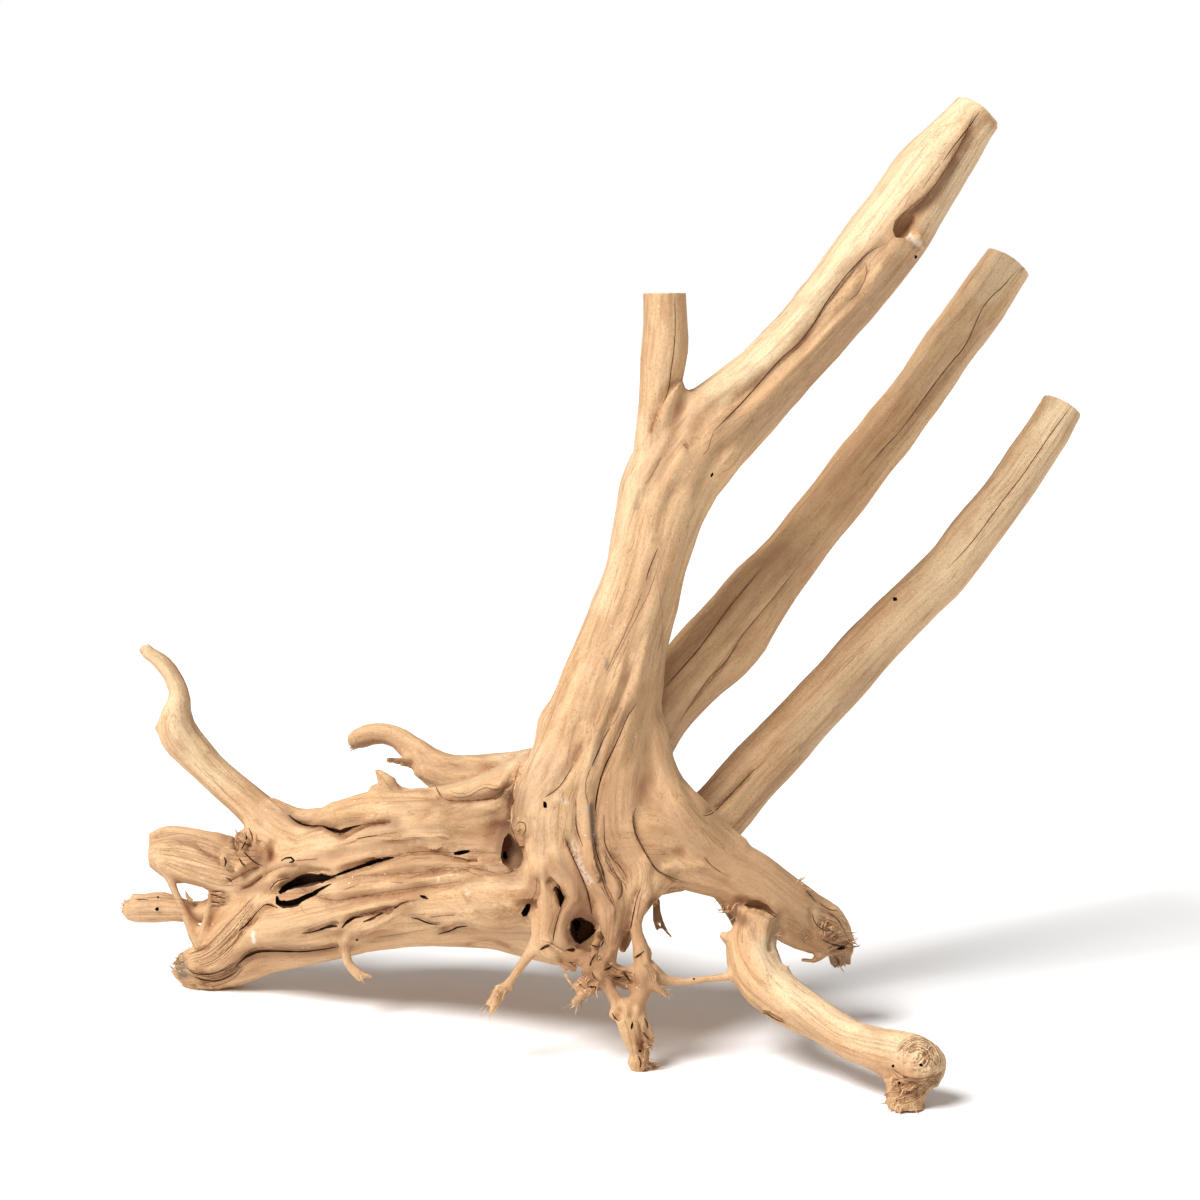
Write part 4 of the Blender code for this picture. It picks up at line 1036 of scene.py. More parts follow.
PAINTS = (
    *painted(Mark.STAIN, (
        (((591, 805), (592, 822), (594, 838), (597, 845)), 4, 1.0),
        (((601, 872), (604, 876), (605, 884)), 4, 0.9),
        (((606, 659), (607, 668)), 3, 0.7),
        (((639, 491), (637, 500), (636, 508)), 4, 0.4),
        (((598, 752), (593, 766)), 3, 0.7),
        (((583, 928), (577, 936)), 15, 0.6),
        (((562, 862), (566, 876)), 5, 0.35),
        (((604, 944), (598, 948)), 7, 0.5),
        (((177, 957), (184, 974)), 10, 1.0),
        (((832, 962), (846, 964)), 11, 0.6),
        (((182, 722), (190, 733)), 4, 0.3),
        (((912, 243), (918, 250)), 5, 0.6),
        (((925, 1092), (945, 1084)), 9, 0.25),
    )),
    *painted(Mark.CHALK, (
        (((253, 932), (254, 942)), 3, 0.7),
        (((419, 843), (420, 844)), 1.6, 0.45),
        (((451, 873), (451, 875)), 1.6, 0.45),
        (((466, 891), (467, 894)), 1.8, 0.45),
        (((438, 877), (438, 881)), 1.6, 0.45),
        (((574, 843), (577, 858), (583, 872), (590, 882)), 5, 0.36),
        (((560, 798), (566, 802)), 4, 0.4),
        (((909, 236), (918, 243)), 5, 0.5),
    )),
    # Painted shade in crevices, pits and the gaps between roots and legs
    *painted(Mark.CREVICE_SHADE, (
        (((508, 850), (512, 836)), 14, 0.5),
        (((575, 866), (598, 900), (622, 930)), 32, 0.5),
        (((585, 985), (610, 980), (640, 990), (650, 1000)), 26, 0.5),
        (((640, 1040), (645, 1060), (648, 1078)), 16, 0.5),
        (((232, 840), (250, 850), (262, 862)), 22, 0.55),
        (((880, 1070), (905, 1085), (925, 1090)), 24, 0.45),
        (((822, 938), (840, 950), (846, 966)), 18, 0.5),
        (((590, 960), (620, 975), (648, 985)), 20, 0.4),
        (((560, 915), (575, 905), (600, 900), (612, 920)), 26, 0.35),
        (((570, 850), (592, 885), (612, 915)), 30, 0.3),
        (((570, 955), (600, 965), (630, 970)), 24, 0.3),
        (((496, 838), (512, 812)), 16, 0.25),
        (((526, 908), (532, 890)), 14, 0.3),
        (((300, 866), (345, 858), (390, 850)), 16, 0.22),
        (((340, 882), (370, 878), (410, 872)), 12, 0.2),
        (((240, 884), (262, 886)), 12, 0.4),
        (((250, 960), (290, 955), (340, 950)), 8, 0.3),
        (((285, 898), (305, 888), (328, 880)), 9, 0.35),
        (((563, 899), (563, 903)), 10, 0.6),
        (((583, 930), (583, 931)), 18, 0.6),
        (((575, 950), (590, 958), (604, 968)), 12, 0.5),
        (((610, 970), (624, 978), (636, 984)), 10, 0.55),
        (((240, 850), (256, 858)), 20, 0.5),
        (((210, 898), (226, 898)), 9, 0.6),
        (((184, 905), (196, 922)), 6, 0.5),
        (((245, 889), (262, 878)), 8, 0.5),
        (((716, 905), (746, 903), (775, 912)), 11, 0.6),
        (((728, 908), (742, 918)), 14, 0.6),
        (((655, 905), (664, 934)), 16, 0.9),
        (((388, 760), (410, 762)), 8, 0.8),
        (((246, 953), (290, 951)), 7, 0.6),
        (((606, 884), (614, 900)), 9, 0.45),
        (((900, 228), (915, 212), (935, 198)), 12, 0.5),
        (((375, 915), (405, 903)), 7, 0.6),
        (((513, 990), (504, 996)), 7, 0.5),
        (((655, 984), (668, 992)), 6, 0.5),
    )),
    # Painted shade in hollows, under overhangs and on sides turned from the light
    *painted(Mark.SHADE, (
        (((440, 818), (470, 830), (500, 838)), 34, 0.26),
        (((400, 846), (440, 847), (480, 848), (506, 846)), 18, 0.34),
        (((511, 800), (500, 830), (500, 852), (508, 870)), 24, 0.45),
        (((510, 818), (504, 834), (500, 850)), 11, 0.8),
        (((565, 880), (585, 930), (600, 975)), 42, 0.34),
        (((645, 890), (645, 950), (645, 990)), 20, 0.16),
        (((570, 950), (590, 958), (602, 950)), 16, 0.45),
        (((512, 795), (510, 825)), 10, 0.3),
        (((440, 798), (470, 803), (498, 797), (510, 785)), 8, 0.28),
        (((330, 826), (344, 822), (356, 822)), 9, 0.3),
        (((300, 866), (350, 855), (400, 846)), 10, 0.16),
        (((270, 888), (258, 886), (246, 888)), 9, 0.35),
        (((250, 957), (300, 954), (350, 948)), 6, 0.3),
        (((380, 916), (396, 908), (410, 904)), 7, 0.35),
        (((400, 856), (440, 852), (470, 856)), 9, 0.22),
        (((440, 928), (458, 925), (470, 926)), 7, 0.25),
        (((526, 912), (530, 896), (537, 880)), 12, 0.35),
        (((560, 905), (564, 890), (556, 880)), 10, 0.35),
        (((570, 945), (590, 950), (612, 940), (618, 915)), 16, 0.3),
        (((560, 955), (590, 968), (620, 975)), 14, 0.32),
        (((596, 850), (602, 875), (612, 895)), 9, 0.25),
        (((644, 1030), (646, 1050), (640, 1066)), 7, 0.35),
        (((740, 898), (760, 902), (778, 914)), 9, 0.4),
        (((770, 925), (776, 945), (788, 965)), 10, 0.2),
        (((815, 925), (832, 940), (850, 945)), 12, 0.3),
        (((838, 952), (846, 968)), 11, 0.6),
        (((186, 972), (210, 979), (236, 968)), 8, 0.3),
        (((228, 838), (244, 846), (256, 860)), 13, 0.35),
        (((210, 895), (222, 900)), 10, 0.3),
        (((606, 790), (608, 840), (614, 880)), 28, 0.3),
        (((690, 820), (730, 860), (810, 905)), 36, 0.3),
        (((660, 640), (665, 720), (680, 790)), 18, 0.14),
        (((750, 800), (820, 722), (860, 672)), 26, 0.18),
        (((905, 262), (850, 325), (790, 392), (745, 440)), 16, 0.3),
        (((597, 868), (603, 888), (610, 902)), 9, 0.5),
        (((622, 934), (627, 949)), 9, 0.6),
        (((380, 902), (440, 884), (480, 880)), 10, 0.24),
        (((262, 930), (300, 926), (380, 918)), 10, 0.16),
        (((899, 232), (904, 222), (915, 212), (930, 199), (943, 184), (956, 162)), 7, 0.6),
        (((602, 700), (598, 740)), 14, 0.25),
        (((732, 914), (744, 921)), 9, 0.6),
        (((572, 958), (600, 972), (650, 985)), 24, 0.28),
        (((588, 945), (604, 952)), 12, 0.35),
        (((645, 488), (655, 468), (668, 452), (684, 444)), 8, 0.2),
        (((684, 446), (695, 432), (715, 412)), 8, 0.3),
        (((645, 585), (632, 615), (612, 660)), 7, 0.14),
        (((592, 878), (602, 892), (608, 906)), 12, 0.35),
        (((400, 868), (440, 862), (480, 868)), 18, 0.22),
    )),
    *painted(Mark.TAN, (
        (((545, 880), (560, 930), (600, 950), (640, 940)), 34, 0.6),
        (((560, 990), (600, 985), (650, 990)), 30, 0.5),
        (((660, 800), (690, 830), (740, 860)), 40, 0.35),
        (((690, 690), (760, 600), (820, 520), (880, 450)), 50, 0.5),
        (((645, 690), (622, 740), (605, 790), (605, 850)), 22, 0.6),
        (((200, 970), (300, 950), (400, 938), (500, 935)), 20, 0.45),
        (((330, 822), (350, 820)), 14, 0.5),
        (((395, 872), (440, 868)), 16, 0.45),
        (((470, 835), (500, 838)), 16, 0.5),
        (((640, 840), (600, 900), (600, 940)), 44, 0.55),
        (((620, 700), (640, 760), (690, 820), (740, 870), (800, 915)), 46, 0.45),
        (((560, 940), (600, 970), (640, 975)), 26, 0.5),
    )),
    # Bleached wood, and painted highlight on tops and edges that face the light
    *painted(Mark.PALE_AND_HIGHLIGHT, (
        (((846, 905), (856, 920)), 9, 0.8),
        (((940, 212), (965, 168), (987, 128)), 9, 1.0),
        (((928, 225), (950, 190), (980, 140)), 12, 0.9),
        (((1018, 248), (985, 290)), 26, 1.0),
        (((1073, 388), (1045, 432)), 26, 1.3),
        (((768, 950), (785, 985), (850, 1025)), 22, 1.1),
        (((895, 1045), (925, 1050), (935, 1080)), 26, 1.0),
        (((146, 655), (174, 690), (180, 735), (215, 775)), 22, 0.9),
        (((425, 705), (465, 728), (520, 752)), 26, 0.8),
        (((968, 92), (900, 182), (845, 255), (795, 322), (745, 372)), 20, 1.35),
        (((930, 590), (870, 655), (800, 740)), 30, 0.45),
        (((962, 100), (930, 150), (880, 200), (830, 260), (780, 320), (720, 380)), 34, 0.9),
        (((640, 430), (620, 520), (600, 600)), 22, 0.5),
        (((820, 1010), (870, 1040), (920, 1045)), 22, 0.5),
        (((1073, 388), (1029, 460), (971, 538), (930, 590)), 30, 0.85),
        (((1022, 242), (975, 311), (930, 376)), 34, 0.3),
        (((146, 655), (174, 690), (180, 730), (230, 785)), 20, 0.4),
    )),
)


@dataclass(frozen=True)
class Toning:
    """Shade and hairlines that follow what is carved: reaches in pixels, depths in millimetres."""

    valley_reach: float = 8.0
    valley_dark: float = 0.12
    valley_most: float = 0.42
    furrow_from: float = 1.3
    furrow_reach: float = 0.7
    furrow_dark: float = 0.11
    furrow_most: float = 0.26
    fold_reach: float = 7.0
    fold_dark: float = 0.14
    half_width: float = 0.7
    crack_line: float = 0.5
    fold_line: float = 0.2
    fold_step: float = 0.5
    valley_line: float = 0.16
    valley_line_most: float = 0.5

    def paints(self) -> tuple[Paint, ...]:
        """Shades the valleys, the deeper furrows and the folds.

        Returns:
            One painted line for each of them.
        """
        paints = []
        for valley in VALLEYS:
            dark = min(self.valley_dark * valley.depth, self.valley_most)
            paints.append(Paint(Mark.SHADE, valley.line, self.valley_reach, dark))
        for furrow in FURROWS:
            if furrow.depth > self.furrow_from:
                dark = min(self.furrow_dark * furrow.depth, self.furrow_most)
                paints.append(Paint(Mark.SHADE, furrow.line, self.furrow_reach * furrow.reach, dark))
        # Painted shade along each fold
        for fold in FOLDS:
            paints.append(Paint(Mark.CREVICE_SHADE, fold.line, self.fold_reach, self.fold_dark * fold.dip))
        return tuple(paints)

    def creases(self) -> tuple[Crease, ...]:
        """Draws a hairline along every crack, fold and valley.

        Returns:
            The hairlines in that order.
        """
        width = self.half_width
        creases = []
        for crack in CRACKS:
            line = tuple(station[:2] for station in crack.stations)
            creases.append(Crease(line, width, self.crack_line))
        # The hairlines of folds and valleys are painted shade at their bottoms, darker where they are deeper
        for fold in FOLDS:
            step = self.fold_step * (fold.lip + fold.dip)
            creases.append(Crease(fold.line, width, self.fold_line * fold.dip, step))
        for valley in VALLEYS:
            dark = min(self.valley_line * valley.depth, self.valley_line_most)
            creases.append(Crease(valley.line, width, dark))
        return tuple(creases)


class Noise:
    """Smooth noise on a lattice of fixed numbers, the same on every run."""

    primes: tuple[int, ...] = (73856093, 19349663, 83492791)
    seed_prime: int = 7919
    stirs: tuple[tuple[int, int], ...] = ((15, 2246822519), (13, 3266489917))
    last_shift: int = 16
    word: int = 0xFFFFFFFF
    half_word: int = 0xFFFF

    def __init__(self, seed: int) -> None:
        """Keeps the number that tells this noise from the others."""
        self.seed = seed

    def _corners(self, cells: np.ndarray) -> np.ndarray:
        """Gives each lattice corner its fixed number.

        Args:
            cells: Rows of three whole numbers.

        Returns:
            A number between -1 and 1 for each row.
        """
        code = np.bitwise_xor.reduce(cells.astype(np.int64) * self.primes, axis=1)
        code = (code + self.seed * self.seed_prime) & self.word
        for shift, stir in self.stirs:
            code = ((code ^ (code >> shift)) * stir) & self.word
        return ((code ^ (code >> self.last_shift)) & self.half_word) / (self.half_word / 2) - 1.0

    def at(self, points: np.ndarray) -> np.ndarray:
        """Reads the noise.

        Args:
            points: Rows of three numbers, one lattice cell per unit.

        Returns:
            A number between -1 and 1 for each row.
        """
        base = np.floor(points)
        part = points - base
        soft = part * part * part * (part * (part * 6 - 15) + 10)
        total = np.zeros(len(points))
        for corner in np.ndindex(2, 2, 2):
            step = np.array(corner)
            weight = np.where(step, soft, 1 - soft).prod(axis=1)
            total += weight * self._corners(base + step)
        return total


def ease(values: np.ndarray) -> np.ndarray:
    """Turns 0 to 1 into a soft step, with what lies outside held at its end."""
    held = np.clip(values, 0.0, 1.0)
    return held * held * (3 - 2 * held)


def ends_faded(share: np.ndarray, stretch: float) -> np.ndarray:
    """Rises softly from 0 at both ends of a line to 1 within a stretch of it."""
    return ease(share / stretch) * ease((1 - share) / stretch)


def bell(part: np.ndarray) -> np.ndarray:
    """Falls softly from 1 in the middle to 0 at a part of 1."""
    return (1 - part**2) ** 2


def resample(line: np.ndarray, spacing: float) -> np.ndarray:
    """Runs a smooth line through its points.

    Args:
        line: Rows of numbers, of which the first columns are the place.
        spacing: About how far apart the new points are.

    Returns:
        Rows with the same columns.
    """
    line = np.asarray(line, float)
    padded = np.vstack((2 * line[0] - line[1], line, 2 * line[-1] - line[-2]))
    rows = []
    for before, start, end, after in zip(padded, padded[1:], padded[2:], padded[3:]):
        count = max(1, round(float(np.linalg.norm((end - start)[:3])) / spacing))
        slope_start, slope_end = (end - before) / 2, (after - start) / 2
        for t in np.arange(count) / count:
            rows.append(
                (2 * t**3 - 3 * t**2 + 1) * start + (t**3 - 2 * t**2 + t) * slope_start
                + (3 * t**2 - 2 * t**3) * end + (t**3 - t**2) * slope_end
            )
    rows.append(line[-1])
    return np.array(rows)


def line_distance(across: np.ndarray, down: np.ndarray, line: Line) -> tuple[np.ndarray, np.ndarray]:
    """Measures how far points lie from a line in the picture.

    Args:
        across: Pixels across of each point.
        down: Pixels down of each point.
        line: The line's points.

    Returns:
        The distance of each point, below 0 on the left hand of the line's way as the viewer
        sees it, and how far along the line its nearest place is, 0 to 1.
    """
    ends = np.asarray(line, float)
    lengths = np.linalg.norm(np.diff(ends, axis=0), axis=1)
    total = max(lengths.sum(), TINY)
    best = np.full(len(across), np.inf)
    signed = np.full(len(across), np.inf)
    share = np.zeros(len(across))
    done = 0.0
    for start, end, length in zip(ends, ends[1:], lengths):
        way = (end - start) / max(length, TINY)
        east, south = across - start[0], down - start[1]
        along = np.clip(east * way[0] + south * way[1], 0, length)
        gap = np.hypot(east - way[0] * along, south - way[1] * along)
        side = np.where(way[0] * south - way[1] * east < 0, -1.0, 1.0)
        nearer = gap < best
        best[nearer] = gap[nearer]
        signed[nearer] = (side * gap)[nearer]
        share[nearer] = (done + along[nearer]) / total
        done += length
    return signed, share


@dataclass
class GrainLine:
    """A limb's centre line, with a frame that is carried along it and slowly turned."""

    rows: np.ndarray
    number: int
    spacing: float = 0.003
    twist: float = 2.2
    offset: float = 0.137
    room: float = 0.016
    first_side: tuple[float, float, float] = (0.3, 0.9, 0.2)

    def __post_init__(self) -> None:
        """Works out the line's points, radii, lengths and frames."""
        line = resample(self.rows, self.spacing)
        self.points, self.radii = line[:, :3], line[:, 3]
        steps = np.diff(self.points, axis=0)
        self.along = np.concatenate(([0.0], np.cumsum(np.linalg.norm(steps, axis=1))))
        ways = np.gradient(self.points, axis=0)
        self.ways = ways / np.linalg.norm(ways, axis=1, keepdims=True)
        side = np.cross(self.ways[0], self.first_side)
        sides = []
        for way in self.ways:
            side = side - way * (side @ way)
            side = side / np.linalg.norm(side)
            sides.append(side)
        flat = np.array(sides)
        other = np.cross(self.ways, flat)
        turn = (self.twist * self.along)[:, None]
        self.sides = flat * np.cos(turn) + other * np.sin(turn)
        self.others = np.cross(self.ways, self.sides)
        reach = self.radii.max() + self.room
        self.low, self.high = self.points.min(0) - reach, self.points.max(0) + reach

    def inside(self, points: np.ndarray) -> np.ndarray:
        """Numbers of the points that lie near enough for this line."""
        return np.flatnonzero(((points > self.low) & (points < self.high)).all(axis=1))

    def coordinates(self, points: np.ndarray) -> tuple[np.ndarray, np.ndarray]:
        """Finds where points lie in the limb's own frame.

        Args:
            points: Rows of x, y and z in metres.

        Returns:
            Rows of two places across the limb and one along it, and how far each point lies
            outside the limb's round surface.
        """
        best = np.full(len(points), np.inf)
        nearest = np.zeros(len(points), int)
        for number, centre in enumerate(self.points):
            away = points - centre
            gap = np.einsum("ij,ij->i", away, away)
            closer = gap < best
            best[closer] = gap[closer]
            nearest[closer] = number
        away = points - self.points[nearest]
        ahead = np.einsum("ij,ij->i", away, self.ways[nearest])
        place = np.stack((
            np.einsum("ij,ij->i", away, self.sides[nearest]),
            np.einsum("ij,ij->i", away, self.others[nearest]),
            self.along[nearest] + ahead + self.offset * self.number,
        ), axis=1)
        return place, np.sqrt(best) - self.radii[nearest]


@dataclass
class GrainMap:
    """All grain lines of the wood, and which of them each point follows."""

    lines: list[GrainLine] = field(default_factory=list)
    softness: float = 0.0016
    faintest: float = 6.0
    least_weight: float = 1e-12

    def add(self, rows: np.ndarray) -> None:
        """Adds a limb.

        Args:
            rows: Rows of x, y, z and radius in metres.
        """
        self.lines.append(GrainLine(np.asarray(rows, float), len(self.lines) + 1))

    def blend(self, points: np.ndarray, read: Callable[[np.ndarray], np.ndarray]) -> np.ndarray:
        """Reads a pattern in the frames of the limbs round each point, blended without seams.

        Args:
            points: Rows of x, y and z in metres.
            read: Takes rows in a limb's own frame and gives a number for each.

        Returns:
            A number for each point.
        """
        gaps = np.full(len(points), np.inf)
        parts = []
        for line in self.lines:
            inside = line.inside(points)
            if len(inside):
                place, gap = line.coordinates(points[inside])
                gaps[inside] = np.minimum(gaps[inside], gap)
                parts.append((inside, place, gap))
        total, weights = np.zeros(len(points)), np.full(len(points), self.least_weight)
        for inside, place, gap in parts:
            over = (gap - gaps[inside]) / self.softness
            near = over < self.faintest
            weight = np.exp(-over[near])
            total[inside[near]] += weight * read(place[near])
            weights[inside[near]] += weight
        return total / weights

    def two_nearest(self, points: np.ndarray) -> tuple[np.ndarray, np.ndarray]:
        """Finds the two limbs whose surfaces are nearest to each point.

        Args:
            points: Rows of x, y and z in metres.

        Returns:
            The numbers of the nearest and of the second nearest line.
        """
        first, second = np.zeros(len(points), int), np.zeros(len(points), int)
        first_gap, second_gap = np.full(len(points), np.inf), np.full(len(points), np.inf)
        for number, line in enumerate(self.lines):
            inside = line.inside(points)
            if not len(inside):
                continue
            gap = line.coordinates(points[inside])[1]
            wins = gap < first_gap[inside]
            beaten = inside[wins]
            second[beaten], second_gap[beaten] = first[beaten], first_gap[beaten]
            first[beaten], first_gap[beaten] = number, gap[wins]
            runs = ~wins & (gap < second_gap[inside])
            second[inside[runs]], second_gap[inside[runs]] = number, gap[runs]
        second = np.where(np.isinf(second_gap), first, second)
        return first, second


class Bench:
    """Blender's own modelling steps, each on one object alone."""

    @staticmethod
    def pick(*objects: bpy.types.Object) -> None:
        """Selects objects alone and makes the first one active.

        Args:
            objects: The objects.
        """
        bpy.ops.object.select_all(action="DESELECT")
        for obj in objects:
            obj.select_set(True)
        bpy.context.view_layer.objects.active = objects[0]

    @staticmethod
    def add(primitive: Callable[..., object], **settings: object) -> bpy.types.Object:
        """Deselects everything, adds a primitive and gives it back.

        Args:
            primitive: The operator that adds it.
            settings: The operator's settings by name.

        Returns:
            The new object.
        """
        bpy.ops.object.select_all(action="DESELECT")
        primitive(**settings)
        return bpy.context.object

    @classmethod
    def edit(cls, obj: bpy.types.Object, step: Callable[..., object], **settings: object) -> None:
        """Runs an edit-mode operator on the whole of a mesh.

        Args:
            obj: The mesh object.
            step: The operator.
            settings: The operator's settings by name.
        """
        cls.pick(obj)
        bpy.ops.object.mode_set(mode="EDIT")
        bpy.ops.mesh.select_all(action="SELECT")
        step(**settings)
        bpy.ops.object.mode_set(mode="OBJECT")

    @classmethod
    def modify(cls, obj: bpy.types.Object, kind: str, **settings: object) -> None:
        """Adds a modifier and applies it.

        Args:
            obj: The object that it shapes.
            kind: The modifier's type.
            settings: Its settings by name.
        """
        cls.pick(obj)
        step = obj.modifiers.new(kind.lower(), kind)
        for name, value in settings.items():
            setattr(step, name, value)
        bpy.ops.object.modifier_apply(modifier=step.name)

    @classmethod
    def cut(cls, obj: bpy.types.Object, cutter: bpy.types.Object) -> None:
        """Cuts one object out of another and deletes the cutter."""
        cls.modify(obj, "BOOLEAN", operation="DIFFERENCE", solver="MANIFOLD", object=cutter)
        bpy.data.objects.remove(cutter)

    @classmethod
    def join(cls, objects: list[bpy.types.Object]) -> bpy.types.Object:
        """Joins objects into the first one.

        Args:
            objects: The objects.

        Returns:
            The first one.
        """
        cls.pick(*objects)
        if len(objects) > 1:
            bpy.ops.object.join()
        return objects[0]

    @staticmethod
    def mesh(name: str, places: np.ndarray, faces: list[tuple[int, ...]]) -> bpy.types.Object:
        """Makes a mesh object.

        Args:
            name: The object's name.
            places: The points, in metres.
            faces: The points' numbers for each face.

        Returns:
            The object.
        """
        mesh = bpy.data.meshes.new(name)
        mesh.from_pydata(places.tolist(), [], faces)
        obj = bpy.data.objects.new(name, mesh)
        bpy.context.scene.collection.objects.link(obj)
        return obj

    @staticmethod
    def sleeve(rings: int, size: int) -> list[tuple[int, ...]]:
        """Lists the faces of a closed sleeve whose points lie in rings.

        Args:
            rings: How many rings there are.
            size: How many points a ring has.

        Returns:
            The points' numbers for both end faces and for each face between the rings.
        """
        last = rings * size - 1
        faces: list[tuple[int, ...]] = [tuple(range(size)), tuple(range(last, last - size, -1))]
        for start in range(0, last - size, size):
            for k in range(size):
                a, b = start + k, start + (k + 1) % size
                faces.append((b, a, a + size, b + size))
        return faces

    @staticmethod
    def store(mesh: bpy.types.Mesh, name: str, domain: str, values: np.ndarray) -> None:
        """Stores a number, or a row of three, for each element of a mesh.

        Args:
            mesh: The mesh.
            name: The attribute's name.
            domain: Which elements carry it.
            values: The numbers or rows.
        """
        kind, slot = ("FLOAT", "value") if values.ndim == 1 else ("FLOAT_VECTOR", "vector")
        layer = mesh.attributes.new(name, kind, domain)
        layer.data.foreach_set(slot, values.astype(np.float32).ravel())

    @staticmethod
    def corners(mesh: bpy.types.Mesh) -> np.ndarray:
        """Lists the points at the corners of the faces.

        Args:
            mesh: The mesh.

        Returns:
            The number of the point at each corner of each face.
        """
        corners = np.empty(len(mesh.loops), np.int32)
        mesh.loops.foreach_get("vertex_index", corners)
        return corners

    @classmethod
    def tubes(cls, name: str, tubes: list[np.ndarray], steps: int, sides: int) -> bpy.types.Object:
        """Makes round tubes with closed ends as one mesh.

        Args:
            name: The object's name.
            tubes: For each tube its rows of x, y, z and radius in metres.
            steps: Faces along each stretch between two rows.
            sides: How round the tubes are.

        Returns:
            The mesh object.
        """
        obj = cls.add(bpy.ops.curve.primitive_bezier_curve_add)
        obj.name = name
        curve = obj.data
        curve.splines.clear()
        curve.dimensions = "3D"
        curve.bevel_depth = MM
        curve.bevel_resolution = sides
        curve.resolution_u = steps
        curve.use_fill_caps = True
        for rows in tubes:
            spline = curve.splines.new("BEZIER")
            spline.radius_interpolation = "CARDINAL"
            spline.bezier_points.add(len(rows) - 1)
            for point, row in zip(spline.bezier_points, rows):
                point.co = row[:3]
                point.handle_left_type = "AUTO"
                point.handle_right_type = "AUTO"
                point.radius = row[3] / MM
        cls.pick(obj)
        bpy.ops.object.convert(target="MESH")
        return obj


class Skin:
    """A mesh's points, normals and edges as arrays."""

    def __init__(self, obj: bpy.types.Object) -> None:
        """Reads the object's mesh.

        Args:
            obj: The mesh object.
        """
        self.mesh = obj.data
        count = len(self.mesh.vertices)
        self.places = np.empty(count * 3, np.float32)
        self.mesh.vertices.foreach_get("co", self.places)
        self.places = self.places.reshape(-1, 3).astype(float)
        self._read_normals()
        self.edges = np.empty(len(self.mesh.edges) * 2, np.int32)
        self.mesh.edges.foreach_get("vertices", self.edges)
        self.edges = self.edges.reshape(-1, 2)

    def _read_normals(self) -> None:
        """Reads the points' normals."""
        normals = np.empty(len(self.places) * 3, np.float32)
        self.mesh.vertex_normals.foreach_get("vector", normals)
        self.normals = normals.reshape(-1, 3).astype(float)

    def write(self) -> None:
        """Puts the points back into the mesh."""
        self.mesh.vertices.foreach_set("co", self.places.astype(np.float32).ravel())
        self.mesh.update()
        self._read_normals()

    def average(self, values: np.ndarray) -> np.ndarray:
        """Averages values over each point's neighbours.

        Args:
            values: A row of numbers for each point.

        Returns:
            For each point the mean row of its neighbours.
        """
        count = len(self.places)
        start, end = self.edges[:, 0], self.edges[:, 1]
        links = np.bincount(start, minlength=count) + np.bincount(end, minlength=count)
        links = np.maximum(links, 1)
        columns = []
        for column in values.T:
            total = np.bincount(start, column[end], count) + np.bincount(end, column[start], count)
            columns.append(total / links)
        return np.stack(columns, axis=1)

    def relax(self, rounds: int, pull: float = 0.55, push: float = 0.57) -> None:
        """Smooths the skin without shrinking it.

        Args:
            rounds: How many times it is smoothed and swelled back.
            pull: How far a point goes to its neighbours' mean.
            push: How far it comes back.
        """
        for _ in range(rounds):
            self.places += pull * (self.average(self.places) - self.places)
            self.places -= push * (self.average(self.places) - self.places)

    def web(self, rounds: int, push: float = 0.7, refresh: int = 5) -> None:
        """Fills the sharp valleys between limbs, as bark grows over a fork.

        Args:
            rounds: How many times the hollows are raised.
            push: How far a point in a hollow goes to its neighbours' mean.
            refresh: After how many rounds the normals are worked out again.
        """
        for number in range(rounds):
            rise = np.einsum("ij,ij->i", self.average(self.places) - self.places, self.normals)
            self.places += push * np.maximum(rise, 0.0)[:, None] * self.normals
            if (number + 1) % refresh == 0:
                self.write()

    def hollowness(self, rounds: int) -> np.ndarray:
        """Measures how deep each point lies in a hollow.

        Args:
            rounds: How often the skin is softened for the measure.

        Returns:
            The depths in metres, below 0 on a ridge.
        """
        soft = self.places.copy()
        for _ in range(rounds):
            soft = self.average(soft)
        return np.einsum("ij,ij->i", soft - self.places, self.normals)


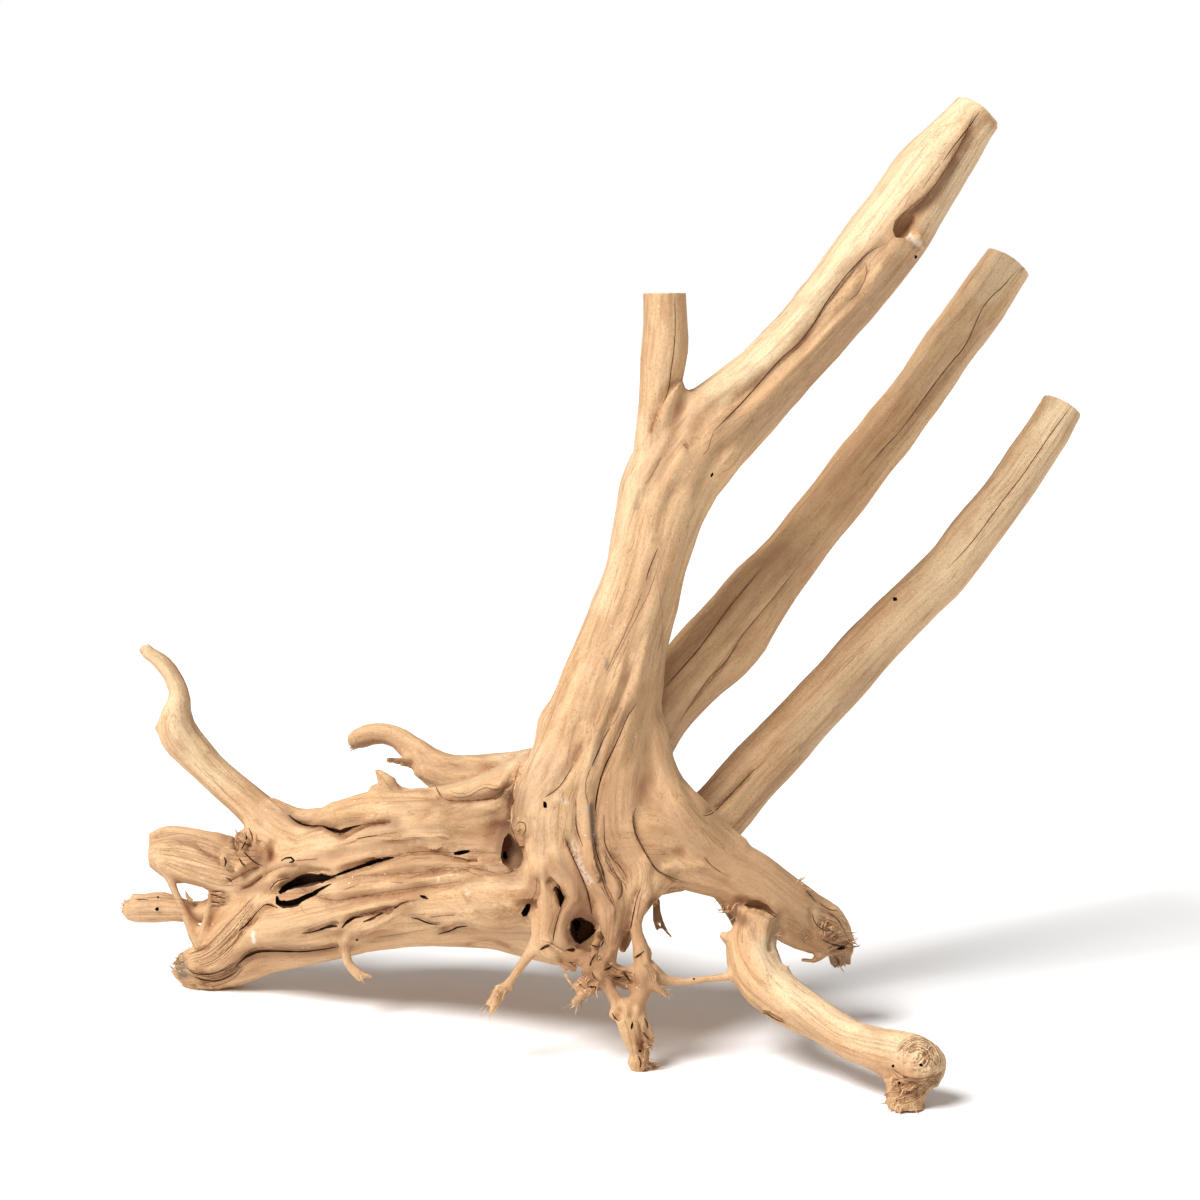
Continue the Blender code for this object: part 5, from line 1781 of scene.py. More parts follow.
class Carver(Skin):
    """Carves the skin along lines of the front view."""

    furrow_ends: float = 0.2
    crease_ends: float = 0.15
    lip_edge: float = 0.18
    step_blur: float = 1.1
    groove_gaps: tuple[float, float] = (0.1, 0.9)
    groove_wander: float = 0.35
    groove_depths: tuple[float, float] = (0.4, 1.4)
    groove_reaches: tuple[float, float] = (0.7, 1.2)
    hair_width: float = 0.5
    hair_dark: float = 0.15
    hair_by_depth: float = 0.55
    hair_most: float = 0.8
    curl_sizes: tuple[float, ...] = (0.009, 0.0035, 0.0022)
    curl_turns: tuple[float, float] = (1.5, 0.5)
    curl_height: float = 0.6
    soft_edge: float = 1.6
    paint_edge: float = 1.3
    paint_shown: float = 3.0

    def __init__(self, obj: bpy.types.Object) -> None:
        """Reads the mesh and finds what of it the front view shows.

        Args:
            obj: The mesh object.
        """
        super().__init__(obj)
        self.across, self.down, self.ahead = VIEW.project(self.places)
        self.shift = np.zeros(len(self.places))
        self.seen = self._seen()

    def _seen(
        self, cell: float = 3.0, veil: float = 0.006, least: float = 0.02, full: float = 0.3,
    ) -> np.ndarray:
        """Weighs each point by how well the front view shows it.

        Args:
            cell: Pixels that a cell of the depth map is wide.
            veil: How far behind the foremost point of its cell a point still counts, in metres.
            least: How squarely a point faces the camera where it starts to count, 0 to 1.
            full: How much more squarely it faces the camera where it counts in full.

        Returns:
            0 for a hidden point to 1 for one that faces the camera.
        """
        away = np.array(VIEW.place) - self.places
        away /= np.linalg.norm(away, axis=1, keepdims=True)
        facing = np.einsum("ij,ij->i", away, self.normals)
        cells = int(VIEW.size / cell) + 2
        column = np.clip((self.across / cell).astype(int), 0, cells - 1)
        row = np.clip((self.down / cell).astype(int), 0, cells - 1)
        front = np.full((cells, cells), np.inf)
        np.minimum.at(front, (row, column), self.ahead)
        return ease((facing - least) / full) * (self.ahead < front[row, column] + veil)

    def near(self, line: Line, reach: float) -> tuple[np.ndarray, np.ndarray, np.ndarray]:
        """Finds the points near a line of the picture.

        Args:
            line: The line's points in pixels.
            reach: How far from the line counts, in pixels.

        Returns:
            The points' numbers, their distance in pixels, below 0 on the left hand of the
            line's way, and how far along the line they are.
        """
        ends = np.asarray(line, float)
        low, high = ends.min(0) - reach, ends.max(0) + reach
        box = (self.across > low[0]) & (self.across < high[0])
        box &= (self.down > low[1]) & (self.down < high[1])
        numbers = np.flatnonzero(box)
        gap, share = line_distance(self.across[numbers], self.down[numbers], line)
        close = np.abs(gap) < reach
        return numbers[close], gap[close], share[close]

    def furrow(self, furrow: Furrow) -> None:
        """Sinks a soft valley, or raises a ridge, that fades at both ends.

        Args:
            furrow: The valley or ridge.
        """
        numbers, gap, share = self.near(furrow.line, furrow.reach)
        fade = ends_faded(share, self.furrow_ends)
        self.shift[numbers] -= furrow.depth * MM * bell(gap / furrow.reach) * fade * self.seen[numbers]

    def valley(self, valley: Valley) -> None:
        """Sinks a sharp crease with its two shoulders.

        Args:
            valley: The crease.
        """
        numbers, gap, share = self.near(valley.line, max(valley.left, valley.right))
        part = np.clip(np.where(gap < 0, -gap / valley.left, gap / valley.right), 0, 1)
        fade = ends_faded(share, self.crease_ends)
        self.shift[numbers] -= valley.depth * MM * (1 - part) ** 2 * fade * self.seen[numbers]

    def fold(self, fold: Fold) -> None:
        """Makes a step along a line, with a lip on its left hand and a dip on its right.

        Args:
            fold: The step.
        """
        numbers, gap, share = self.near(fold.line, fold.reach)
        fade = ends_faded(share, self.crease_ends)
        part = np.abs(gap) / fold.reach
        lip = fold.lip * bell(part) * (0.5 + 0.5 * ease(part / self.lip_edge))
        dip = -fold.dip * bell(part)
        height = np.where(gap < 0, lip, dip)
        soft = np.clip(np.abs(gap) / self.step_blur, 0, 1)
        height = height * soft + 0.5 * (lip + dip) * (1 - soft)
        self.shift[numbers] += height * MM * fade * self.seen[numbers]

    def comb(self, comb: Comb, draw: np.random.Generator) -> list[Crease]:
        """Carves fine grooves between two lines.

        Args:
            comb: The two lines, and how many grooves lie between them.
            draw: The draw of irregularities.

        Returns:
            The hairlines at the bottoms of the grooves.
        """
        first = np.asarray(comb.first, float)
        last = np.asarray(comb.last, float)
        hairlines = []
        for number in range(comb.count):
            part = (number + draw.uniform(*self.groove_gaps)) / comb.count
            places = first + (last - first) * part + draw.normal(0, self.groove_wander, first.shape)
            line = tuple(map(tuple, places))
            depth = comb.depth * draw.uniform(*self.groove_depths)
            self.furrow(Furrow(line, comb.reach * draw.uniform(*self.groove_reaches), depth))
            # The hairline is painted shade at the groove's bottom, darker where the groove is deeper
            dark = min(self.hair_dark + self.hair_by_depth * depth, self.hair_most)
            hairlines.append(Crease(line, self.hair_width, dark))
        return hairlines

    def burl(self, burl: Burl, wave: Noise) -> None:
        """Draws curly rings round a middle.

        Args:
            burl: The rings.
            wave: The noise that makes them uneven.
        """
        numbers, gap, _ = self.near((burl.middle, burl.middle), burl.reach)
        gap = np.abs(gap)
        broad, middle, fine = (wave.at(self.places[numbers] / size) for size in self.curl_sizes)
        turn = gap / burl.ring + self.curl_turns[0] * broad + self.curl_turns[1] * middle
        height = self.curl_height * np.sin(math.tau * turn) + self.curl_height * fine
        fade = ease(self.soft_edge * (1 - gap / burl.reach))
        self.shift[numbers] += burl.height * MM * height * fade * self.seen[numbers]

    def knob(self, knob: Knob) -> None:
        """Raises a soft round swelling."""
        numbers, gap, _ = self.near((knob.middle, knob.middle), knob.reach)
        self.shift[numbers] += knob.height * MM * bell(gap / knob.reach) * self.seen[numbers]

    def painted(self, paint: Paint) -> tuple[np.ndarray, np.ndarray]:
        """Finds what a painted line covers.

        Args:
            paint: The painted line.

        Returns:
            The covered points' numbers, and how strongly each is covered.
        """
        numbers, gap, _ = self.near(paint.line, paint.reach)
        strength = paint.strength * ease(self.paint_edge * (1 - np.abs(gap) / paint.reach))
        return numbers, strength * np.minimum(1.0, self.paint_shown * self.seen[numbers])

    def torn_share(self, torn: Torn) -> np.ndarray:
        """Weighs each point by how near the middle of a torn place it lies.

        Args:
            torn: The torn place.

        Returns:
            0 outside its reach to 1 near its middle.
        """
        across, down, depth = torn.middle
        middle, _ = VIEW.place_at(across, down, depth, 1.0)
        gap = np.linalg.norm(self.places - middle, axis=1) / (torn.reach * MM)
        return ease(self.soft_edge * (1 - gap))

    def settle(self) -> None:
        """Moves every point by what was carved."""
        self.places += self.normals * self.shift[:, None]
        self.shift[:] = 0.0
        self.write()


@dataclass
class Knives:
    """Makes what is cut out of the wood: cracks, holes, saw blocks and the ground.

    Sizes are in metres, the spacing of a crack's stations in pixels.
    """

    wood: bpy.types.Object
    seed: int = 11
    lift: float = 0.0012
    spacing: float = 3.5
    jump: float = 0.007
    taper: float = 0.3
    crack_widths: tuple[float, float] = (0.8, 1.2)
    crack_ends: float = 0.25
    end_depth: float = 0.35
    hole_lift: float = 0.008
    hole_mouth: float = 1.04
    pit_corners: int = 12
    pit_uneven: float = 0.16
    pit_narrowing: float = 0.6
    saw_side: float = 0.06
    ground_size: tuple[float, float, float] = (0.7, 0.5, 0.06)
    # The attribute that holds the painted shade of the walls that each cut leaves
    mark: str = "inside"
    parts: list[bpy.types.Object] = field(default_factory=list)

    def __post_init__(self) -> None:
        """Starts the draw of small irregularities."""
        self.draw = np.random.default_rng(self.seed)

    def _hit(self, across: float, down: float) -> np.ndarray | None:
        """Finds the place on the wood behind a pixel, or nothing."""
        found, place, _, _ = self.wood.ray_cast(Vector(VIEW.place), VIEW.ray(across, down))
        return np.array(place) if found else None

    def crack(self, crack: Crack) -> None:
        """Makes the wedges that cut a gap, one for each stretch of wood without a step.

        Args:
            crack: The gap.
        """
        line = resample(np.array(crack.stations), self.spacing)
        run: list[tuple[np.ndarray, float]] = []
        for across, down, width in line:
            hit = self._hit(across, down)
            if hit is None or (run and np.linalg.norm(hit - run[-1][0]) > self.jump):
                self._wedge(run, crack)
                run = []
            if hit is not None:
                run.append((hit, width * self.draw.uniform(*self.crack_widths)))
        self._wedge(run, crack)

    def _wedge(self, run: list[tuple[np.ndarray, float]], crack: Crack) -> None:
        """Makes one wedge.

        Args:
            run: Places on the wood in metres, each with the gap's width there in pixels.
            crack: The gap that it belongs to.
        """
        if len(run) < 3:
            return
        places = np.array([place for place, _ in run])
        inward = places - np.array(VIEW.place)
        ahead = np.linalg.norm(inward, axis=1, keepdims=True)
        inward /= ahead
        sides = np.cross(np.gradient(places, axis=0), inward)
        sides /= np.linalg.norm(sides, axis=1, keepdims=True)
        half = 0.5 * np.array([width for _, width in run])[:, None] * ahead / VIEW.focal
        lift = self.lift + 0.5 * half
        share = np.linspace(0, 1, len(run))[:, None]
        fade = np.sqrt(ends_faded(share, self.crack_ends))
        deep = crack.depth * MM * (self.end_depth + (1 - self.end_depth) * fade)
        floor = places + inward * deep
        mouth = places - inward * lift
        points = np.stack((
            mouth - sides * half, mouth + sides * half,
            floor + sides * self.taper * half, floor - sides * self.taper * half,
        ), axis=1).reshape(-1, 3)
        self._keep(Bench.mesh("crack", points, Bench.sleeve(len(run), 4)), crack.wall_shade)

    def _keep(self, part: bpy.types.Object, wall_shade: float) -> None:
        """Marks the painted shade of the walls that this part cuts, and keeps it for the cut."""
        Bench.store(part.data, self.mark, "FACE", np.full(len(part.data.polygons), wall_shade))
        self.parts.append(part)

    def hole(self, hollow: Hollow) -> None:
        """Sinks a hole with a given outline along the view.

        Args:
            hollow: The hole.
        """
        middle = np.mean(hollow.outline, axis=0)
        hit = self._hit(*middle)
        if hit is None:
            return
        eye = np.array(VIEW.place)
        away = np.linalg.norm(hit - eye)
        deep, narrow = hollow.depth * MM, hollow.narrowing
        # How deep each ring lies, and its size against the mouth's
        rings = (
            (-self.hole_lift, self.hole_mouth), (0.0, 1.0), (0.35 * deep, 0.5 + 0.5 * narrow),
            (0.8 * deep, narrow), (deep, 0.5 * narrow),
        )
        points = []
        for deeper, scale in rings:
            for pixel in hollow.outline:
                across, down = middle + (np.array(pixel) - middle) * scale
                points.append(eye + np.array(VIEW.ray(across, down)) * (away + deeper))
        body = Bench.mesh("hole", np.array(points), Bench.sleeve(len(rings), len(hollow.outline)))
        Bench.edit(body, bpy.ops.mesh.normals_make_consistent, inside=False)
        self._keep(body, hollow.wall_shade)

    def pit(self, pit: Pit) -> None:
        """Sinks a small oval hole with an uneven edge.

        Args:
            pit: The hole.
        """
        turn = math.radians(pit.turn)
        outline = []
        for angle in np.arange(self.pit_corners) * math.tau / self.pit_corners:
            uneven = 1 + self.draw.uniform(-self.pit_uneven, self.pit_uneven)
            x = pit.half_sizes[0] * math.cos(angle) * uneven
            y = pit.half_sizes[1] * math.sin(angle) * uneven
            outline.append((
                pit.middle[0] + x * math.cos(turn) + y * math.sin(turn),
                pit.middle[1] - x * math.sin(turn) + y * math.cos(turn),
            ))
        self.hole(Hollow(tuple(outline), pit.depth, self.pit_narrowing))

    def saw(self, rows: np.ndarray) -> None:
        """Makes the block that saws a limb off at its last station but one.

        Args:
            rows: The limb's x, y, z and radius in metres.
        """
        cut, end = Vector(rows[-2][:3]), Vector(rows[-1][:3])
        along = (end - cut).normalized()
        turn = Vector((0, 0, 1)).rotation_difference(along).to_euler()
        middle = cut + along * self.saw_side / 2
        block = Bench.add(bpy.ops.mesh.primitive_cube_add, size=self.saw_side, location=middle, rotation=turn)
        self._keep(block, 0.0)

    def ground(self) -> None:
        """Makes the block below the floor."""
        size = self.ground_size
        block = Bench.add(bpy.ops.mesh.primitive_cube_add, size=1, location=(0, 0, -size[2] / 2), scale=size)
        self._keep(block, 0.0)

    def use(self) -> None:
        """Cuts everything out, in layers of parts whose boxes don't meet."""
        mesh = self.wood.data
        if self.mark not in mesh.attributes:
            Bench.store(mesh, self.mark, "FACE", np.zeros(len(mesh.polygons)))
        layers: list[list[tuple[bpy.types.Object, np.ndarray, np.ndarray]]] = []
        for part in self.parts:
            corners = np.array([part.matrix_world @ v.co for v in part.data.vertices])
            low, high = corners.min(0) - MM, corners.max(0) + MM
            for layer in layers:
                if not any((low < h).all() and (high > l).all() for _, l, h in layer):
                    layer.append((part, low, high))
                    break
            else:
                layers.append([(part, low, high)])
        for layer in layers:
            Bench.cut(self.wood, Bench.join([part for part, _, _ in layer]))
        log.info("cut %d parts in %d layers", len(self.parts), len(layers))
        self.parts.clear()


@dataclass
class DriftwoodBody:
    """The whole wood: limbs and strands fused, carved, cracked and sawn. Sizes in metres."""

    name: str = "driftwood_body"
    base_voxel: float = 0.0020
    fine_voxel: float = 0.00095
    base_relax: int = 5
    web_from: float = 0.0034
    web_rounds: int = 45
    fine_web_rounds: int = 6
    front_share: float = 0.02
    fine_relax: int = 6
    triangles: int = 171000
    curve_steps: int = 7
    roundness: int = 4
    flute_across: float = 0.0062
    flute_along: float = 0.075
    flute_height: float = 0.00060
    groove_across: float = 0.0034
    groove_along: float = 0.050
    groove_depth: float = 0.00028
    groove_share: float = 0.34
    thin_limb: float = 0.010
    thin_limb_least: float = 0.12
    lump_size: float = 0.017
    lump_height: float = 0.0006
    lump_limb: float = 0.012
    lump_least: float = 0.1
    fibre_across: float = 0.0013
    fibre_along: float = 0.011
    fibre_share: float = 0.6
    crumb_size: float = 0.0035
    crumb_share: float = 0.7
    torn_from: float = 0.01
    strand_spacing: float = 12.0
    strand_ends: float = 0.25
    strand_thin: float = 0.45
    shown_from: float = 0.3
    shown_thinning: float = 0.6
    weld: float = 0.00001
    sharp_degrees: float = 44.0
    join_width: float = 0.003
    crease_reach: float = 9.0
    crease_spacing: float = 3.0
    crease_ends: float = 0.12
    sawn_flat: float = 0.0003
    sawn_reach: float = 1.6
    hollow_rounds: int = 24
    hollow_depth: float = 0.0020
    seed: int = 5
    noise_seeds: tuple[int, ...] = (19, 3, 5, 7, 13, 17)
    grain: GrainMap = field(default_factory=GrainMap)
    sawn_faces: list[tuple[np.ndarray, np.ndarray, float]] = field(default_factory=list)
    fibre_lines: list[Crease] = field(default_factory=list)

    def build(self) -> bpy.types.Object:
        """Makes the wood.

        Returns:
            The finished object, without its material.
        """
        rows = {limb.name: self._rows(limb) for limb in LIMBS}
        for limb in LIMBS:
            if limb.grain:
                self.grain.add(rows[limb.name])
        thick = [tube for tube in rows.values() if tube[:, 3].max() > self.web_from]
        base = self._fused("base", Bench.tubes("base", thick, self.curve_steps, self.roundness),
                           self.base_voxel, self.base_relax, self.web_rounds)
        strands = [tube for strand in STRANDS if (tube := self._strand_rows(base, strand)) is not None]
        for tube in strands:
            self.grain.add(tube)
        tubes = Bench.tubes("limbs", list(rows.values()) + strands, self.curve_steps, self.roundness)
        wood = self._fused(self.name, Bench.join([tubes, base]), self.fine_voxel, 2, self.fine_web_rounds)
        log.info("fused %d limbs and %d strands", len(rows), len(strands))
        knives = Knives(wood)
        for hollow in HOLLOWS:
            knives.hole(hollow)
        knives.use()
        Bench.modify(wood, "REMESH", mode="VOXEL", voxel_size=self.fine_voxel)
        self._carve(wood)
        faces = len(wood.data.polygons)
        self._favour_front(wood)
        Bench.modify(wood, "DECIMATE", ratio=self.triangles / (2 * faces), use_collapse_triangulate=True,
                     vertex_group="front", vertex_group_factor=self.front_share)
        wood.vertex_groups.clear()
        log.info("thinned %d faces to %d", faces, len(wood.data.polygons))
        for hole in HOLES:
            knives.hole(hole)
        for pit in PITS:
            knives.pit(pit)
        for crack in CRACKS:
            knives.crack(crack)
        knives.use()
        for limb in LIMBS:
            if limb.sawn:
                self.sawn_faces.append(self._saw_plane(rows[limb.name]))
                knives.saw(rows[limb.name])
        knives.ground()
        knives.use()
        self._finish(wood)
        return wood

    @staticmethod
    def _rows(limb: Limb) -> np.ndarray:
        """Turns a limb's stations into places.

        Args:
            limb: The limb.

        Returns:
            Rows of x, y, z and radius in metres.
        """
        rows = []
        for across, down, width, depth in limb.stations:
            place, radius = VIEW.place_at(across, down, depth, width)
            rows.append((*place, radius * MM))
        return np.array(rows)

    @staticmethod
    def _saw_plane(rows: np.ndarray) -> tuple[np.ndarray, np.ndarray, float]:
        """Gives the middle, the direction and the radius of a sawn end."""
        way = rows[-1][:3] - rows[-2][:3]
        return rows[-2][:3], way / np.linalg.norm(way), rows[-2][3]

    @staticmethod
    def _fused(name: str, obj: bpy.types.Object, voxel: float, relax: int, web: int) -> bpy.types.Object:
        """Makes overlapping bodies into one skin.

        Args:
            name: The fused object's name.
            obj: The bodies, as one object.
            voxel: The skin's fineness.
            relax: How often it is smoothed.
            web: How often its sharp valleys are raised.

        Returns:
            The fused object.
        """
        obj.name = name
        Bench.modify(obj, "REMESH", mode="VOXEL", voxel_size=voxel)
        skin = Skin(obj)
        skin.relax(relax)
        skin.write()
        skin.web(web)
        skin.relax(2)
        skin.write()
        return obj

    def _favour_front(self, wood: bpy.types.Object) -> None:
        """Marks how readily points are thinned, less where the front view shows them.

        Args:
            wood: The carved wood.
        """
        group = wood.vertex_groups.new(name="front")
        seen = Carver(wood).seen
        group.add(np.flatnonzero(seen < self.shown_from).tolist(), 1.0, "REPLACE")
        group.add(np.flatnonzero(seen >= self.shown_from).tolist(), self.shown_thinning, "REPLACE")

    def _strand_rows(self, base: bpy.types.Object, strand: Strand) -> np.ndarray | None:
        """Lays a strand on the wood.

        Args:
            base: The fused limbs that carry it.
            strand: The strand.

        Returns:
            Rows of x, y, z and radius in metres, or nothing where it misses the wood.
        """
        line = self._flat_line(strand.line, self.strand_spacing)
        rows = []
        for number, (across, down) in enumerate(line):
            found, place, normal, _ = base.ray_cast(Vector(VIEW.place), VIEW.ray(across, down))
            if not found:
                continue
            share = number / max(len(line) - 1, 1)
            end = float(ease(np.array(min(share, 1 - share) / self.strand_ends)))
            ahead = (np.array(place) - np.array(VIEW.place)) @ VIEW.forward
            thinned = self.strand_thin + (1 - self.strand_thin) * end
            radius = 0.5 * strand.width * ahead / VIEW.focal * thinned
            rise = strand.proud * MM * (2 * end - 1)
            rows.append((*(np.array(place) - np.array(normal) * (radius - rise)), radius))
        return np.array(rows) if len(rows) > 2 else None

    @staticmethod
    def _flat_line(line: Line, spacing: float) -> np.ndarray:
        """Runs a smooth line through points of the front view, with the spacing in pixels."""
        return resample(np.array([(*pixel, 0.0) for pixel in line]), spacing)[:, :2]

    def _carve(self, wood: bpy.types.Object) -> None:
        """Carves the furrows, flutes and torn places into the fused skin.

        Args:
            wood: The fused wood.
        """
        carver = Carver(wood)
        carver.relax(self.fine_relax)
        carver.settle()
        for furrow in FURROWS:
            carver.furrow(furrow)
        for knob in KNOBS:
            carver.knob(knob)
        carver.settle()
        for fold in FOLDS:
            carver.fold(fold)
        for valley in VALLEYS:
            carver.valley(valley)
        carver.settle()
        draw = np.random.default_rng(self.seed)
        for comb in COMBS:
            self.fibre_lines += carver.comb(comb, draw)
        curls, flutes, grooves, lumps, fibres, crumbs = map(Noise, self.noise_seeds)
        for burl in BURLS:
            carver.burl(burl, curls)
        carver.settle()

        def relief(place: np.ndarray) -> np.ndarray:
            """Works out the height of the flutes and grooves.

            Args:
                place: Places in a limb's own frame.

            Returns:
                The heights there.
            """
            size = np.hypot(place[:, 0], place[:, 1]) / self.thin_limb
            size = np.clip(size, self.thin_limb_least, 1.0)
            broad = flutes.at(place / (self.flute_across, self.flute_across, self.flute_along))
            fine = grooves.at(place / (self.groove_across, self.groove_across, self.groove_along))
            cut = np.clip(1 - np.abs(fine) / self.groove_share, 0, 1) ** 1.5
            return size * (self.flute_height * broad - self.groove_depth * cut)

        carver.shift += self.grain.blend(carver.places, relief)
        thick = np.clip(self._thickness(carver.places) / self.lump_limb, self.lump_least, 1.0)
        carver.shift += self.lump_height * thick * lumps.at(carver.places / self.lump_size)
        self._tear(carver, fibres, crumbs)
        carver.settle()

    def _thickness(self, places: np.ndarray) -> np.ndarray:
        """Measures the limb that is nearest to each point.

        Args:
            places: Rows of x, y and z in metres.

        Returns:
            The limb's mean radius for each point, in metres.
        """
        first, _ = self.grain.two_nearest(places)
        radii = np.array([line.radii.mean() for line in self.grain.lines])
        return radii[first]

    def _tear(self, carver: Carver, fibres: Noise, crumbs: Noise) -> None:
        """Roughens the torn ends into fibres.

        Args:
            carver: The skin.
            fibres: The noise that draws the fibres.
            crumbs: The noise that breaks them up.
        """
        share = np.zeros(len(carver.places))
        height = np.zeros(len(carver.places))
        for torn in TORN:
            part = carver.torn_share(torn)
            share = np.maximum(share, part)
            height = np.maximum(height, part * torn.roughness * MM)
        torn_points = np.flatnonzero(share > self.torn_from)
        if not len(torn_points):
            return
        places = carver.places[torn_points]

        def strings(place: np.ndarray) -> np.ndarray:
            """Height of the fibres in a limb's own frame."""
            return fibres.at(place / (self.fibre_across, self.fibre_across, self.fibre_along))

        rough = self.fibre_share * self.grain.blend(places, strings)
        rough += self.crumb_share * crumbs.at(places / self.crumb_size)
        carver.shift[torn_points] += height[torn_points] * rough

    def _finish(self, wood: bpy.types.Object) -> None:
        """Closes, shades and marks the finished wood.

        Args:
            wood: The carved and cut wood.
        """
        Bench.modify(wood, "TRIANGULATE")
        Bench.edit(wood, bpy.ops.mesh.remove_doubles, threshold=self.weld)
        bpy.ops.object.shade_smooth_by_angle(angle=math.radians(self.sharp_degrees))
        self._mark_grain(wood)
        self._mark_paint(wood)
        self._mark_creases(wood)
        log.info("%s has %d triangles", wood.name, len(wood.data.polygons))

    def _mark_grain(self, wood: bpy.types.Object) -> None:
        """Stores where each corner of each face lies along its two nearest limbs.

        Args:
            wood: The wood, all triangles.
        """
        skin = Skin(wood)
        corners = Bench.corners(wood.data)
        faces = corners.reshape(-1, 3)
        middles = skin.places[faces].mean(axis=1)
        first, second = self.grain.two_nearest(middles)
        places = skin.places[corners]
        grain_a, gap_a = self._in_lines(places, np.repeat(first, 3))
        grain_b, gap_b = self._in_lines(places, np.repeat(second, 3))
        share = 0.5 * (1 - ease((gap_b - gap_a) / self.join_width))
        for name, values in (("grain_a", grain_a), ("grain_b", grain_b), ("join", share)):
            Bench.store(wood.data, name, "CORNER", values)

    def _in_lines(self, places: np.ndarray, numbers: np.ndarray) -> tuple[np.ndarray, np.ndarray]:
        """Finds points' places in the frames of given limbs.

        Args:
            places: Rows of x, y and z in metres.
            numbers: The number of each point's limb.

        Returns:
            The places, and how far each lies outside the limb's round surface.
        """
        rows, gaps = np.zeros((len(places), 3)), np.zeros(len(places))
        for number in np.unique(numbers):
            inside = np.flatnonzero(numbers == number)
            rows[inside], gaps[inside] = self.grain.lines[number].coordinates(places[inside])
        return rows, gaps

    def _mark_creases(self, wood: bpy.types.Object) -> None:
        """Stores how far across its nearest crease each corner lies, in half widths.

        Args:
            wood: The wood, all triangles.
        """
        carver = Carver(wood)
        corners = Bench.corners(wood.data)
        across, down = carver.across[corners], carver.down[corners]
        middle_across = across.reshape(-1, 3).mean(axis=1)
        middle_down = down.reshape(-1, 3).mean(axis=1)
        shown = carver.seen[corners].reshape(-1, 3).max(axis=1) > 0
        best = np.full(len(middle_across), self.crease_reach)
        values = {name: np.zeros(len(corners)) for name in ("crease_off", "crease_dark", "crease_step")}
        values["crease_off"][:] = self.crease_reach
        for crease in (*CREASES, *Toning().creases(), *self.fibre_lines):
            line = self._flat_line(crease.line, self.crease_spacing)
            reach = self.crease_reach * crease.half_width
            low, high = line.min(0) - reach, line.max(0) + reach
            box = shown & (middle_across > low[0]) & (middle_across < high[0])
            box &= (middle_down > low[1]) & (middle_down < high[1])
            faces = np.flatnonzero(box)
            gap, _ = line_distance(middle_across[faces], middle_down[faces], line)
            gap = np.abs(gap) / crease.half_width
            nearer = gap < best[faces]
            faces = faces[nearer]
            best[faces] = gap[nearer]
            own = (3 * faces[:, None] + np.arange(3)).ravel()
            gap, share = line_distance(across[own], down[own], line)
            fade = ends_faded(share, self.crease_ends)
            values["crease_off"][own] = gap / crease.half_width
            values["crease_dark"][own] = crease.dark * fade
            values["crease_step"][own] = crease.step * fade
        for name, numbers in values.items():
            Bench.store(wood.data, name, "CORNER", numbers)

    def _mark_paint(self, wood: bpy.types.Object) -> None:
        """Stores the painted marks, the hollows, the torn ends and the sawn ends.

        Args:
            wood: The finished wood.
        """
        carver = Carver(wood)
        layers = {mark: np.zeros(len(carver.places)) for mark in Mark}
        for paint in PAINTS + Toning().paints():
            numbers, strength = carver.painted(paint)
            layers[paint.mark][numbers] = np.maximum(layers[paint.mark][numbers], strength)
        for torn in TORN:
            layers[Mark.TORN] = np.maximum(layers[Mark.TORN], carver.torn_share(torn))
        sawn = np.zeros(len(carver.places))
        for middle, way, radius in self.sawn_faces:
            away = carver.places - middle
            flat = np.abs(away @ way) < self.sawn_flat
            sawn[flat & (np.linalg.norm(away, axis=1) < self.sawn_reach * radius)] = 1.0
        values = {mark.value: layer for mark, layer in layers.items()}
        values["sawn"] = sawn
        # How deep each point lies in a hollow, which the finish paints as shade
        values["hollow"] = np.clip(carver.hollowness(self.hollow_rounds) / self.hollow_depth, -1, 1)
        for name, layer in values.items():
            Bench.store(wood.data, name, "POINT", layer)


